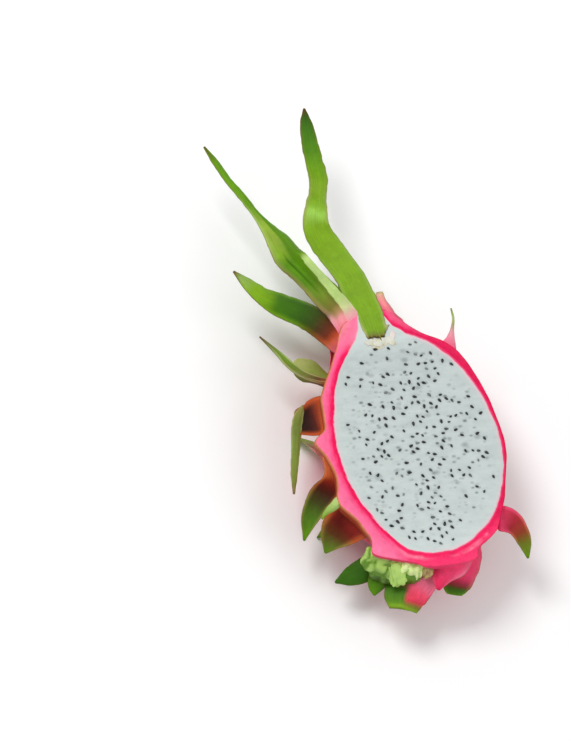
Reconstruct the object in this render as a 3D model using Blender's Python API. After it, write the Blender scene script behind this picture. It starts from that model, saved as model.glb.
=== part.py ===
"""One half of a white-fleshed dragon fruit, as cut, lying on its rind with the cut face up.

Everything is worked out in millimetres and made in metres. The fruit's axis runs along Y: the crown of
long bracts is at +Y and the torn stem is at -Y. The knife cut is the plane z = CUT_HEIGHT. The origin is
the middle of the small flat spot that the rind rests on.
"""

import math
import random

import bmesh
import bpy
import numpy as np
from mathutils import Vector, noise
from mathutils.geometry import delaunay_2d_cdt

MM = 0.001

# Driving dimensions, in millimetres
FLESH_HALF_WIDTH = 39.0
FLESH_HALF_LENGTH = 54.5
RIND_THICKNESS = 3.8
DEPTH_SHARE = 0.965
FLAT_SPOT_DEPTH = 1.3
TOUCHING_GAP = 0.3
FLOOR_CLEARANCE = 0.4

SKIN_HALF_WIDTH = FLESH_HALF_WIDTH + RIND_THICKNESS
SKIN_HALF_LENGTH = FLESH_HALF_LENGTH + 5.0
CUT_HEIGHT = SKIN_HALF_WIDTH * DEPTH_SHARE - FLAT_SPOT_DEPTH

# The collar that the crown's bracts stand on
COLLAR_RADIUS = 13.0
COLLAR_TOP = 65.0

# The outline of the rind in the knife's plane: y, and the distance from the fruit's axis
RIGHT_RIM = [
    (-58, 14), (-54, 17), (-52.5, 21), (-48, 27), (-41, 30.5), (-33, 34.5), (-24.5, 37), (-12.5, 40.8),
    (-5, 41.7), (2.5, 41.2), (15.5, 39.6), (25, 37.2), (35, 33.8), (42, 30.2), (48, 24), (52, 16),
    (57, 10), (61, 6.5), (63.5, 4.5), (65, 3),
]
LEFT_RIM = [
    (-60, 12), (-57, 20), (-54, 29), (-52, 35), (-50, 36), (-47, 34.7), (-43.5, 34.3), (-40, 36.4),
    (-34, 38.8), (-29.5, 42.4), (-26, 45.4), (-21.5, 45.8), (-17, 44.2), (-12, 43.4), (-7, 44.1), (0, 46.2),
    (5, 49.4), (7.7, 49.6), (10, 45.8), (12, 42.8), (21, 41.7), (27.5, 41.2), (31, 39.3), (36, 36.4),
    (42.5, 32.2), (47.5, 29.4), (52, 26.8), (57, 24.8), (61, 22.5), (63.5, 19), (65, 13),
]
RIM_REACH = 24.0

# The swelling of the rind under the foot of each scale
SWELL_BELOW = 17.0
SWELL_ABOVE = 3.5

# The seeds, which stand a little proud of the cut flesh
SEED_COUNT = 205
SEED_LENGTH = 2.15
SEED_WIDTH = 1.2
SEED_RISE = 0.45
SEED_SPACING = 2.6
SEEDLESS_RIM = 3.2

# The torn stem at the base
STEM_CENTRE = (-19.8, -53.4, -8.0)
STEM_SIZE = (27.0, 19.0, 13.0)

# How finely the solids are divided
SKIN_COLUMNS = 48
BLADE_ROWS = 7
BLADE_COLUMNS = 5


class Scale:
    """One scale of the rind: where its foot lies, its size, and how it leaves the rind.

    around is the angle about the fruit's axis: 0 at the right rim, 90 under the fruit, 180 at the left rim.
    along is its foot's place on the axis. rise is the angle, from lying up along the rind, at which it
    leaves, and curl the angle at its tip. lean turns it sideways and twist turns it about its own length.
    """

    def __init__(self, around, along, length, width, rise, curl, lean=0.0, twist=0.0, cup=0.25, swell=3.0):
        self.around = around
        self.along = along
        self.length = length
        self.width = width
        self.rise = rise
        self.curl = curl
        self.lean = lean
        self.twist = twist
        self.cup = cup
        self.swell = swell


# The scales on the rounded back: rows from the base to the crown, staggered from row to row.
# Where a row names shown, only its first scales up to that number grow.
BACK_ROWS = [
    {"along": -46, "first": 62, "step": 44, "count": 2, "length": 17, "width": 19, "rise": 40, "curl": 150},
    {"along": -36, "first": 48, "step": 45, "count": 3, "length": 24, "width": 25, "rise": 16, "curl": 80},
    {
        "along": -18, "first": 38, "step": 38, "count": 4, "shown": 3,
        "length": 27, "width": 27, "rise": 14, "curl": 70,
    },
    {"along": 1, "first": 55, "step": 40, "count": 3, "length": 29, "width": 28, "rise": 12, "curl": 66},
    {
        "along": 20, "first": 38, "step": 38, "count": 4, "shown": 3,
        "length": 31, "width": 26, "rise": 12, "curl": 58,
    },
    {"along": 38, "first": 55, "step": 40, "count": 3, "length": 37, "width": 22, "rise": 10, "curl": 50},
]
BACK_JITTER = 3.0
# The blades that show beside the cut, as points down their middle: x, y, height above the knife's plane,
# half width, thickness and roll. Roll 0 turns the broad face up. The centre bract was cut short by the
# knife and lies over the rind.
CENTRE_BRACT = [
    (-6, 55.5, -0.9, 5.8, 2.8, -2),
    (-7, 61, -0.6, 6.2, 2.4, -2),
    (-7.9, 67, -0.5, 6.9, 2.0, -4),
    (-9.8, 75.2, -0.8, 7.3, 1.8, -6),
    (-10.9, 84.2, -2, 6.8, 2.0, -8),
    (-13.5, 92.5, -3.5, 6.6, 1.8, -10),
    (-16.5, 100, -4, 6.9, 1.8, -10),
    (-20, 107.5, -3, 6.9, 1.8, -4),
    (-21, 113.5, -1.5, 6.3, 1.7, 0),
    (-19, 120.5, -1.5, 5.6, 1.6, 8),
    (-15.5, 129, -3.5, 4.6, 1.5, 14),
    (-12.5, 137.5, -6, 4.9, 1.4, 6),
    (-12, 146, -7, 4.3, 1.3, -4),
    (-12, 155.5, -6.5, 3.9, 1.2, -8),
    (-11.5, 164.5, -6, 3.0, 1.0, -4),
    (-11, 172, -5, 0.5, 0.8, 4),
]
LEFT_BRACT = [
    (-17, 60, -4, 7.0, 8.0, 0),
    (-19.8, 69.3, -4, 5.8, 7.0, 0),
    (-24.1, 77, -4.5, 5.8, 5.0, 2),
    (-28.7, 85.7, -5, 5.5, 3.2, 4),
    (-32.9, 93.5, -5.5, 5.6, 2.4, 4),
    (-36.6, 100.2, -6, 6.4, 2.0, 4),
    (-39.1, 109, -6, 6.0, 1.8, 6),
    (-42.6, 116.7, -6.5, 3.9, 1.6, 8),
    (-46.5, 124.5, -7, 2.1, 1.5, 10),
    (-50.5, 133, -7, 2.0, 1.4, 10),
    (-55.5, 142.5, -7, 1.9, 1.2, 10),
    (-59.5, 152.5, -7, 1.8, 1.1, 10),
    (-63.5, 160, -6, 0.5, 0.8, 10),
]
LOW_BRACT = [
    (-20, 53, -7, 6.0, 6.0, 0),
    (-24.5, 60, -7, 6.9, 5.5, 0),
    (-30.3, 67.5, -7.5, 6.9, 4.0, 0),
    (-36.5, 73, -8, 7.0, 2.8, 2),
    (-45.5, 78.8, -8.5, 6.2, 2.2, 4),
    (-52, 83.5, -8.5, 5.0, 1.8, 6),
    (-58, 90, -8, 3.6, 1.4, 8),
    (-64.5, 97.5, -7, 0.5, 0.8, 10),
]
BACK_LEFT_BRACT = [
    (-10, 52, -16, 6.0, 4.0, 0),
    (-10, 65, -17, 5.5, 3.2, 0),
    (-12, 77, -20, 5.6, 2.4, -6),
    (-16, 88, -22, 5.0, 1.8, -10),
    (-19, 96, -23.5, 3.4, 1.4, -6),
    (-21.5, 101.5, -24, 0.5, 0.8, 0),
]
BACK_CENTRE_BRACT = [
    (0, 51, -18, 6.0, 4.0, 0),
    (0.5, 63, -20, 5.5, 3.0, 0),
    (-1.5, 75, -23, 5.6, 2.2, 8),
    (-4.5, 85.5, -25.5, 4.2, 1.7, 12),
    (-8, 94.5, -27, 0.5, 0.8, 12),
]
TOP_STRIP = [
    (11, 53, -1.6, 2.8, 3.4, 0),
    (7, 57, -1.5, 3.1, 3.4, 0),
    (4, 61.5, -1.4, 3.1, 3.2, 0),
    (2, 66.5, -1.3, 2.8, 2.8, 0),
    (0.5, 71, -1.1, 2.4, 2.4, 0),
    (0.5, 75.5, -0.9, 1.7, 1.6, 0),
]
TOP_HORN = [
    (25.5, 40.5, -2.6, 6.0, 4.0, 10),
    (28, 45, -2.4, 4.3, 3.2, 20),
    (30, 49, -2.2, 2.6, 2.2, 35),
    (31.5, 53.5, -2, 1.7, 1.5, 60),
    (33, 58, -1.6, 1.2, 1.2, 70),
    (33, 63, -1.2, 0.4, 0.8, 80),
]
BASE_HORN = [
    (30, -41, -5, 6.0, 4.5, 10),
    (34, -41.5, -6, 6.0, 3.5, 20),
    (38, -43, -8, 5.2, 2.4, 20),
    (41, -46.5, -10, 4.2, 1.8, 20),
    (43, -52, -12, 3.2, 1.4, 20),
    (43, -59.5, -13, 0.5, 0.8, 20),
]
UPPER_LEFT = [
    (-31, 35.5, -6, 4.0, 4.0, 55),
    (-37.5, 38.5, -8, 4.0, 2.6, 50),
    (-43.5, 43, -10, 4.5, 1.8, 45),
    (-48.5, 49, -11, 4.5, 1.5, 45),
    (-53, 56.5, -11, 3.5, 1.2, 50),
    (-59, 65, -10, 0.5, 0.8, 60),
]
UPPER_LOBE = [
    (-27.5, 36, -11, 3.0, 3.4, 0),
    (-31.5, 40, -12.5, 3.4, 2.6, 0),
    (-35, 44, -13.5, 4.8, 2.0, 0),
    (-38, 47, -14.5, 6.2, 1.6, 0),
    (-40, 49.5, -15, 5.8, 1.4, 0),
    (-41.5, 52, -15.5, 3.6, 1.2, 0),
    (-42.2, 53.5, -15.5, 1.0, 1.0, 0),
]
MIDDLE_LEFT = [
    (-37, 19.5, -4, 9.5, 4.5, 4),
    (-41.5, 20.5, -6.5, 9.4, 3.0, 0),
    (-45.7, 20.3, -9, 8.0, 2.0, 0),
    (-49.3, 21.2, -11.8, 6.8, 1.6, 0),
    (-51.6, 21.5, -13, 4.2, 1.4, 0),
    (-52.6, 21.7, -13.2, 1.2, 1.2, 0),
]
MIDDLE_TAIL = [
    (-46.8, 28.3, -9.5, 0.8, 1.6, 20),
    (-48.8, 25.9, -9.9, 1.8, 1.8, 20),
    (-51, 22.3, -10, 2.4, 1.8, 15),
    (-52.9, 17.2, -10.2, 2.5, 1.6, 10),
    (-54.8, 10.2, -10.5, 2.2, 1.5, 10),
    (-57, 3.1, -11, 1.9, 1.4, 10),
    (-59, -3.9, -11.5, 1.6, 1.2, 10),
    (-61.3, -12.9, -12, 0.5, 0.8, 10),
]
LOWER_LEFT = [
    (-44, 4, -3.2, 1.6, 2.4, 10),
    (-44, -1, -3.6, 2.4, 2.8, 10),
    (-43.5, -6.5, -4.5, 3.4, 3.0, 6),
    (-44, -10.5, -7, 4.8, 3.0, 0),
    (-46.5, -14, -11, 6.2, 2.2, -4),
    (-51, -18.5, -14, 5.6, 1.7, 0),
    (-55.5, -25, -16.5, 4.0, 1.3, 8),
    (-60, -34, -18, 0.5, 0.8, 14),
]
BASE_LEFT = [
    (-32.5, -28, -4, 10.5, 4.5, -8),
    (-37, -30, -8, 10.5, 3.2, -8),
    (-42, -32, -12, 9.5, 2.2, -4),
    (-46.5, -35.5, -16, 7.0, 1.6, 0),
    (-51.5, -41.5, -18, 0.5, 0.8, 4),
]
CUT_EDGE = [
    (-40.5, -21.5, -1.8, 2.6, 3.6, 0),
    (-44.5, -23, -1.8, 2.5, 3.4, 0),
    (-48.5, -25.5, -1.9, 2.0, 3.0, 0),
    (-52, -27.5, -2.2, 1.2, 2.2, 0),
    (-54.5, -30, -2.8, 0.4, 1.0, 0),
]
BASE_TONGUE = [
    (5.5, -53, -3.5, 10, 6.0, 0),
    (2.5, -58, -5, 9.5, 5.5, 0),
    (-2, -63, -7, 6.5, 4.2, 0),
    (-5.5, -70, -9, 0.8, 1.8, 0),
]
BASE_RIGHT = [
    (12, -51, -6, 8.0, 5.0, 0),
    (11, -56.5, -9, 8.5, 3.8, 0),
    (8.5, -62, -12, 8.0, 2.8, 0),
    (6.5, -66.5, -15, 7.0, 2.0, 0),
    (5.5, -69, -17, 5.4, 1.4, 0),
    (5, -70.5, -18, 3.5, 0.9, 0),
]
STEM_SCALE = [
    (-6, -54.5, -10, 8.0, 5.0, 0),
    (-11, -59.5, -12, 10.0, 3.4, 0),
    (-16, -63.5, -14, 11.0, 2.4, 0),
    (-19.3, -68.5, -15, 10.2, 1.8, 0),
    (-20.8, -72, -15.5, 8.4, 1.4, 0),
    (-21.8, -74.8, -15.5, 6.6, 1.0, 0),
]
SMALL_BASE = [
    (-24.5, -53, -14, 5.0, 3.0, 0),
    (-29, -57.5, -17, 5.0, 2.2, 0),
    (-31.5, -61.5, -19, 3.4, 1.5, 0),
    (-32.5, -64.5, -20, 0.5, 0.8, 0),
]
LOW_BASE = [
    (-26, -49.5, -16, 6.0, 3.0, 0),
    (-33, -51, -20, 6.0, 2.2, 0),
    (-41, -53, -22, 4.5, 1.5, 0),
    (-48.5, -54.5, -23, 0.5, 0.8, 0),
]

# Each of those blades with its number of rows and how far its edges bend down
RIM_BLADES = {
    "left_bract": (LEFT_BRACT, 22, 0.3),
    "low_bract": (LOW_BRACT, 13, 0.15),
    "back_left_bract": (BACK_LEFT_BRACT, 11, 0.3),
    "back_centre_bract": (BACK_CENTRE_BRACT, 10, 0.3),
    "top_strip": (TOP_STRIP, 7, 0.1),
    "top_horn": (TOP_HORN, 8, 0.1),
    "base_horn": (BASE_HORN, 10, -0.2),
    "upper_left": (UPPER_LEFT, 10, -0.3),
    "upper_lobe": (UPPER_LOBE, 8, 0.2),
    "middle_left": (MIDDLE_LEFT, 9, -0.3),
    "middle_tail": (MIDDLE_TAIL, 12, 0.2),
    "lower_left": (LOWER_LEFT, 10, -0.3),
    "base_left": (BASE_LEFT, 9, -0.25),
    "cut_edge": (CUT_EDGE, 7, 0.0),
    "base_tongue": (BASE_TONGUE, 7, 0.2),
    "base_right": (BASE_RIGHT, 9, 0.2),
    "stem_scale": (STEM_SCALE, 9, 0.25),
    "small_base": (SMALL_BASE, 7, 0.2),
    "low_base": (LOW_BASE, 7, 0.2),
}


def smooth(t):
    """0 to 1 with level ends."""
    t = np.clip(t, 0.0, 1.0)
    return t * t * (3 - 2 * t)


def unit(v):
    return v / np.linalg.norm(v, axis=-1, keepdims=True)


def turned(vector, axis, degrees):
    """vector turned about a unit axis."""
    angle = math.radians(degrees)
    along = np.dot(axis, vector) * axis
    return along + (vector - along) * math.cos(angle) + np.cross(axis, vector) * math.sin(angle)


def back_scales():
    """The scales of the rounded back, from the rows above with a little seeded disorder."""
    draw = random.Random(7)
    made = []
    for row in BACK_ROWS:
        for n in range(row["count"]):
            around = row["first"] + n * row["step"] + draw.uniform(-BACK_JITTER, BACK_JITTER)
            along = row["along"] + draw.uniform(-BACK_JITTER, BACK_JITTER)
            size = draw.uniform(0.9, 1.1)
            lean = draw.uniform(-10, 10)
            curl = row["curl"] * spread(around)
            if n < row.get("shown", 9):
                made.append(
                    Scale(around, along, row["length"] * size, row["width"], row["rise"], curl, lean)
                )
    return made


def spread(around):
    """How freely a scale can curl: most on the left, less under the fruit and least below the right rim."""
    left = -math.cos(math.radians(around))
    return 0.5 + 0.5 * left if left > 0 else 0.5 + 0.3 * left


def flesh_radius(y, grown=0.0):
    half_length = FLESH_HALF_LENGTH + grown
    return (FLESH_HALF_WIDTH + grown) * np.sqrt(np.clip(1 - (y / half_length) ** 2, 0, 1))


def smooth_skin_radius(y):
    """The rind's radius before its swellings: an ellipse that runs up into the collar of the crown."""
    body = SKIN_HALF_WIDTH * np.sqrt(np.clip(1 - (y / SKIN_HALF_LENGTH) ** 2, 0, 1))
    collar = COLLAR_RADIUS * smooth((y - 20) / 30) * np.sqrt(np.clip((COLLAR_TOP + 1 - y) / 4, 0, 1))
    return (body**5 + collar**5) ** 0.2


def rim_distance(y, table):
    """The rim's distance from the axis, with the corners of its table rounded."""
    places, distances = np.array(table).T
    near = [np.interp(y + step, places, distances) for step in (-1.4, -0.7, 0, 0.7, 1.4)]
    return sum(near) / len(near)


def skin_radius(around, y, scales):
    """The rind's radius with the swelling below each scale, sharp above its foot and long below it."""
    around, y = np.broadcast_arrays(np.asarray(around, float), np.asarray(y, float))
    radius = smooth_skin_radius(y)
    fade = np.clip(radius / 15, 0, 1)
    total = radius.copy()
    for side, table in ((0, RIGHT_RIM), (180, LEFT_RIM)):
        off = (np.mod(around - side + 180, 360) - 180) / RIM_REACH
        total = total + (rim_distance(y, table) - radius) * np.exp(-(off**2))
    for scale in scales:
        sideways = (np.mod(around - scale.around + 180, 360) - 180) * math.pi / 180 * radius
        up = y - scale.along
        reach = np.where(up < 0, SWELL_BELOW, SWELL_ABOVE)
        half_width = scale.width * 0.42 * np.clip(1 + up / (2.2 * SWELL_BELOW), 0.3, 1)
        swell = scale.swell * np.exp(-((up / reach) ** 2) - (sideways / half_width) ** 2)
        total = total + fade * swell
    return total


def skin_point(around, y, scales):
    """A point on the rind, flattened a little where the fruit rests."""
    radius = skin_radius(around, y, scales)
    angle = np.radians(around)
    z = np.maximum(CUT_HEIGHT - radius * np.sin(angle) * DEPTH_SHARE, 0.0)
    return np.stack(np.broadcast_arrays(radius * np.cos(angle), y, z), axis=-1)


def new_mesh_object(name, vertices, faces):
    """A mesh object from millimetres, with its faces pointing out."""
    mesh = bpy.data.meshes.new(name)
    mesh.from_pydata((np.asarray(vertices) * MM).tolist(), [], [list(map(int, f)) for f in faces])
    build = bmesh.new()
    build.from_mesh(mesh)
    bmesh.ops.recalc_face_normals(build, faces=build.faces)
    build.to_mesh(mesh)
    build.free()
    obj = bpy.data.objects.new(name, mesh)
    bpy.context.scene.collection.objects.link(obj)
    return obj


def closed_lathe(name, points):
    """A closed skin from rings of points, with each end closed to the middle of its ring."""
    rings, columns = points.shape[:2]
    faces = []
    for i in range(rings - 1):
        for j in range(columns):
            k = (j + 1) % columns
            faces.append((i * columns + j, i * columns + k, (i + 1) * columns + k, (i + 1) * columns + j))
    vertices = [*points.reshape(-1, 3), points[0].mean(axis=0), points[-1].mean(axis=0)]
    first, last = rings * columns, rings * columns + 1
    for j in range(columns):
        k = (j + 1) % columns
        faces.append((first, k, j))
        faces.append((last, (rings - 1) * columns + j, (rings - 1) * columns + k))
    return new_mesh_object(name, vertices, faces)


def whole_skin(scales):
    """The outside of the whole fruit before it is cut, as one closed body."""
    angles = np.linspace(0.12, 0.80 * math.pi, 27)
    heights = [*(-SKIN_HALF_LENGTH * np.cos(angles)), 52.5, 56.5, 60.5, 63.5, COLLAR_TOP]
    around = np.arange(SKIN_COLUMNS) * 360.0 / SKIN_COLUMNS
    points = np.array([skin_point(around, y, scales) for y in heights])
    return closed_lathe("skin", points)


def blade(name, centres, normals, half_widths, thicknesses, cups):
    """A closed leaf-like blade along a line of points. Both faces are split into like triangles."""
    rows = len(centres)
    tangents = unit(np.gradient(centres, axis=0))
    normals = unit(normals - (normals * tangents).sum(axis=1, keepdims=True) * tangents)
    sides = np.cross(tangents, normals)
    across = np.linspace(-1, 1, BLADE_COLUMNS)
    vertices = np.empty((2, rows, BLADE_COLUMNS, 3))
    for i in range(rows):
        edge_thickness = min(0.7, thicknesses[i])
        thickness = edge_thickness + (thicknesses[i] - edge_thickness) * (1 - across**2)
        bend = cups[i] * half_widths[i] * across**2
        for n, face in enumerate((0.5, -0.5)):
            sideways = np.outer(across * half_widths[i], sides[i])
            vertices[n, i] = centres[i] + sideways + np.outer(face * thickness - bend, normals[i])
    lowest = vertices[..., 2].min(axis=(0, 2))
    vertices[..., 2] += np.maximum(FLOOR_CLEARANCE - lowest, 0)[None, :, None]
    vertices = vertices.reshape(-1, 3)
    size = rows * BLADE_COLUMNS
    faces = []
    for i in range(rows - 1):
        for j in range(BLADE_COLUMNS - 1):
            a, b = i * BLADE_COLUMNS + j, i * BLADE_COLUMNS + j + 1
            c, d = b + BLADE_COLUMNS, a + BLADE_COLUMNS
            faces += [(a, b, c), (a, c, d), (size + c, size + b, size + a), (size + d, size + c, size + a)]
        for j in (0, BLADE_COLUMNS - 1):
            a = i * BLADE_COLUMNS + j
            b = a + BLADE_COLUMNS
            faces.append((a, b, size + b, size + a))
    for i in (0, rows - 1):
        ring = [i * BLADE_COLUMNS + j for j in range(BLADE_COLUMNS)]
        faces += [(a, b, size + b, size + a) for a, b in zip(ring, ring[1:])]
    return new_mesh_object(name, vertices, faces)


def scale_blade(name, scale, scales):
    """A scale's blade. Its foot is sunk in the rind, and it leaves along the rind and curls away."""
    foot = skin_point(scale.around, scale.along, scales)
    ahead = skin_point(scale.around, scale.along + 1.5, [])
    behind = skin_point(scale.around, scale.along - 1.5, [])
    up = unit(ahead - behind)
    angle = math.radians(scale.around)
    out = np.array([math.cos(angle), 0.0, -math.sin(angle)])
    out = unit(out - np.dot(out, up) * up)
    side = np.cross(up, out)
    root = 0.22 * scale.length
    steps = np.linspace(-root, scale.length, BLADE_ROWS + 2)
    centres, normals = [], []
    point = foot - 1.2 * out - root * up
    for n, s in enumerate(steps):
        share = max(s, 0.0) / scale.length
        lifted = scale.rise * min(1.0, (s + root) / root)
        pitch = math.radians(lifted + (scale.curl - scale.rise) * share**0.8)
        lean = math.radians(scale.lean * (0.3 + share))
        forward = math.cos(lean) * up + math.sin(lean) * side
        heading = math.cos(pitch) * forward + math.sin(pitch) * out
        normal = math.cos(pitch) * out - math.sin(pitch) * forward
        if n:
            point = point + heading * (s - steps[n - 1])
        centres.append(point)
        normals.append(turned(normal, heading, scale.twist * share))
    share = np.clip(steps / scale.length, 0, 1)
    half_widths = scale.width / 2 * (1 - share**1.6) ** 0.9 * (0.8 + 0.2 * smooth(share * 5)) + 0.5
    thicknesses = 2.6 - 1.8 * share**0.6
    cups = scale.cup * (1 - 0.6 * share)
    return blade(name, np.array(centres), np.array(normals), half_widths, thicknesses, cups)


def smooth_line(rows, count):
    """The given rows, joined by a smooth curve through them, at evenly spaced places."""
    rows = np.array(rows, float)
    padded = np.vstack([2 * rows[0] - rows[1], rows, 2 * rows[-1] - rows[-2]])
    places = np.linspace(0, len(rows) - 1, count)
    found = []
    for place in places:
        n = min(int(place), len(rows) - 2)
        t = place - n
        a, b, c, d = padded[n : n + 4]
        found.append(
            0.5 * (2 * b + (c - a) * t + (2 * a - 5 * b + 4 * c - d) * t**2 + (3 * b - a - 3 * c + d) * t**3)
        )
    return np.array(found)


def long_bract(name, rows, count, cup):
    """One of the long bracts of the crown, from the points down its middle."""
    line = smooth_line(rows, count)
    centres = line[:, :3] + [0, 0, CUT_HEIGHT]
    tangents = unit(np.gradient(centres, axis=0))
    normals = []
    for tangent, roll in zip(tangents, line[:, 5]):
        level = unit(np.array([0, 0, 1.0]) - tangent[2] * tangent)
        normals.append(turned(level, tangent, roll))
    half_widths = np.maximum(line[:, 3], 0.5)
    thicknesses = np.maximum(line[:, 4], 0.7)
    return blade(name, centres, np.array(normals), half_widths, thicknesses, np.full(count, cup))


def torn_stem():
    """The torn end of the stem: a lopsided block with a hollow, uneven end."""
    width, length, height = STEM_SIZE
    points = []
    columns = 12
    for step, (share, size) in enumerate([(0.0, 0.8), (0.35, 1.0), (0.7, 0.95), (1.0, 0.72)]):
        ring = []
        for j in range(columns):
            angle = 2 * math.pi * j / columns
            bump = 1 + 0.10 * math.sin(3 * angle + step) + 0.06 * math.sin(5 * angle)
            x = width / 2 * size * bump * math.cos(angle)
            z = height / 2 * size * bump * math.sin(angle)
            y = -length * (share - 0.5) - 1.6 * share * math.sin(2 * angle + 0.6)
            ring.append((STEM_CENTRE[0] + x, STEM_CENTRE[1] + y, CUT_HEIGHT + STEM_CENTRE[2] + z))
        points.append(ring)
    return closed_lathe("stem", np.array(points))


def flesh_cutter():
    """The space of the flesh, grown by the gap that keeps the two solids apart."""
    columns = 40
    around = np.arange(columns) * 360.0 / columns
    half_length = FLESH_HALF_LENGTH + TOUCHING_GAP
    rings = []
    for angle in np.linspace(0.09, math.pi - 0.09, 21):
        y = -half_length * math.cos(angle)
        rings.append(flesh_points(around, y, TOUCHING_GAP))
    return closed_lathe("flesh_cutter", np.array(rings))


def flesh_points(around, y, grown):
    radius = flesh_radius(y, grown)
    angle = np.radians(around)
    z = CUT_HEIGHT - radius * np.sin(angle) * DEPTH_SHARE
    return np.stack(np.broadcast_arrays(radius * np.cos(angle), y, z), axis=-1)


def knife_cutter():
    """Everything above the knife's plane."""
    reach, top = 120.0, 90.0
    low = CUT_HEIGHT
    square = [(-reach, -reach), (reach, -reach), (reach, reach), (-reach, reach)]
    corners = [(x, y, z) for z in (low, top) for x, y in square]
    faces = [(0, 1, 2, 3), (4, 5, 6, 7), (0, 1, 5, 4), (1, 2, 6, 5), (2, 3, 7, 6), (3, 0, 4, 7)]
    return new_mesh_object("knife_cutter", corners, faces)


def apply_boolean(obj, operation, others):
    """Joins the other objects to obj, or cuts them from it, and removes them."""
    gathered = bpy.data.collections.new("gathered")
    for other in others:
        bpy.context.scene.collection.objects.unlink(other)
        gathered.objects.link(other)
    bpy.context.scene.collection.children.link(gathered)
    modifier = obj.modifiers.new(operation.lower(), "BOOLEAN")
    modifier.operation = operation
    modifier.operand_type = "COLLECTION"
    modifier.collection = gathered
    modifier.solver = "EXACT"
    bpy.context.view_layer.update()
    graph = bpy.context.evaluated_depsgraph_get()
    result = bpy.data.meshes.new_from_object(obj.evaluated_get(graph))
    obj.modifiers.clear()
    obj.data = result
    for other in others:
        bpy.data.objects.remove(other)
    bpy.data.collections.remove(gathered)


def make_rind():
    """The rind with its scales, crown and torn stem, hollowed for the flesh and cut by the knife."""
    scales = back_scales()
    rind = whole_skin(scales)
    rind.name = "rind_with_scales"
    parts = [scale_blade(f"scale_{n}", scale, scales) for n, scale in enumerate(scales)]
    parts += [long_bract(name, *shape) for name, shape in RIM_BLADES.items()]
    parts.append(torn_stem())
    apply_boolean(rind, "UNION", parts)
    apply_boolean(rind, "DIFFERENCE", [flesh_cutter()])
    apply_boolean(rind, "DIFFERENCE", [knife_cutter()])
    apply_boolean(rind, "UNION", [long_bract("centre_bract", CENTRE_BRACT, 24, 0.06)])
    return rind


def seed_places():
    """Where the seeds show on the cut face: a seeded scatter in loose groups, denser down the middle."""
    draw = random.Random(31)
    places = []
    tries = 0
    while len(places) < SEED_COUNT and tries < 90000:
        tries += 1
        x = draw.uniform(-1, 1) * (FLESH_HALF_WIDTH - SEEDLESS_RIM)
        y = draw.uniform(-1, 1) * (FLESH_HALF_LENGTH - SEEDLESS_RIM)
        inside = (x / (FLESH_HALF_WIDTH - SEEDLESS_RIM)) ** 2 + (y / (FLESH_HALF_LENGTH - SEEDLESS_RIM)) ** 2
        middle = 0.34 * math.exp(-(((x - 4 - 0.2 * y) / 6.5) ** 2))
        base = 1.1 * math.exp(-((x / 7) ** 2) - ((y + 47) / 6) ** 2)
        bare = 0.16 * math.exp(-(((y - 52) / 9) ** 2)) + 0.12 * smooth((inside - 0.6) / 0.4)
        groups = 0.9 * noise.noise(Vector((x / 7, y / 7, 4.0)))
        if inside > 1 or draw.random() > 0.20 + middle + base - bare + groups:
            continue
        if any((x - a) ** 2 + (y - b) ** 2 < SEED_SPACING**2 for a, b, *_ in places):
            continue
        turn = draw.gauss(-20, 42)
        places.append((x, y, math.radians(turn), draw.uniform(0.72, 1.12)))
    return places


def seed_outline(place):
    """The six points round a seed at the cut face: a drop, blunt at one end."""
    x, y, turn, size = place
    points = []
    for n in range(6):
        angle = 2 * math.pi * n / 6
        u = size * SEED_LENGTH / 2 * math.cos(angle)
        v = size * SEED_WIDTH / 2 * math.sin(angle) * (1.1 - 0.25 * math.cos(angle))
        over = u * math.cos(turn) - v * math.sin(turn)
        up = u * math.sin(turn) + v * math.cos(turn)
        points.append((x + over, y + up))
    return points


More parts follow.
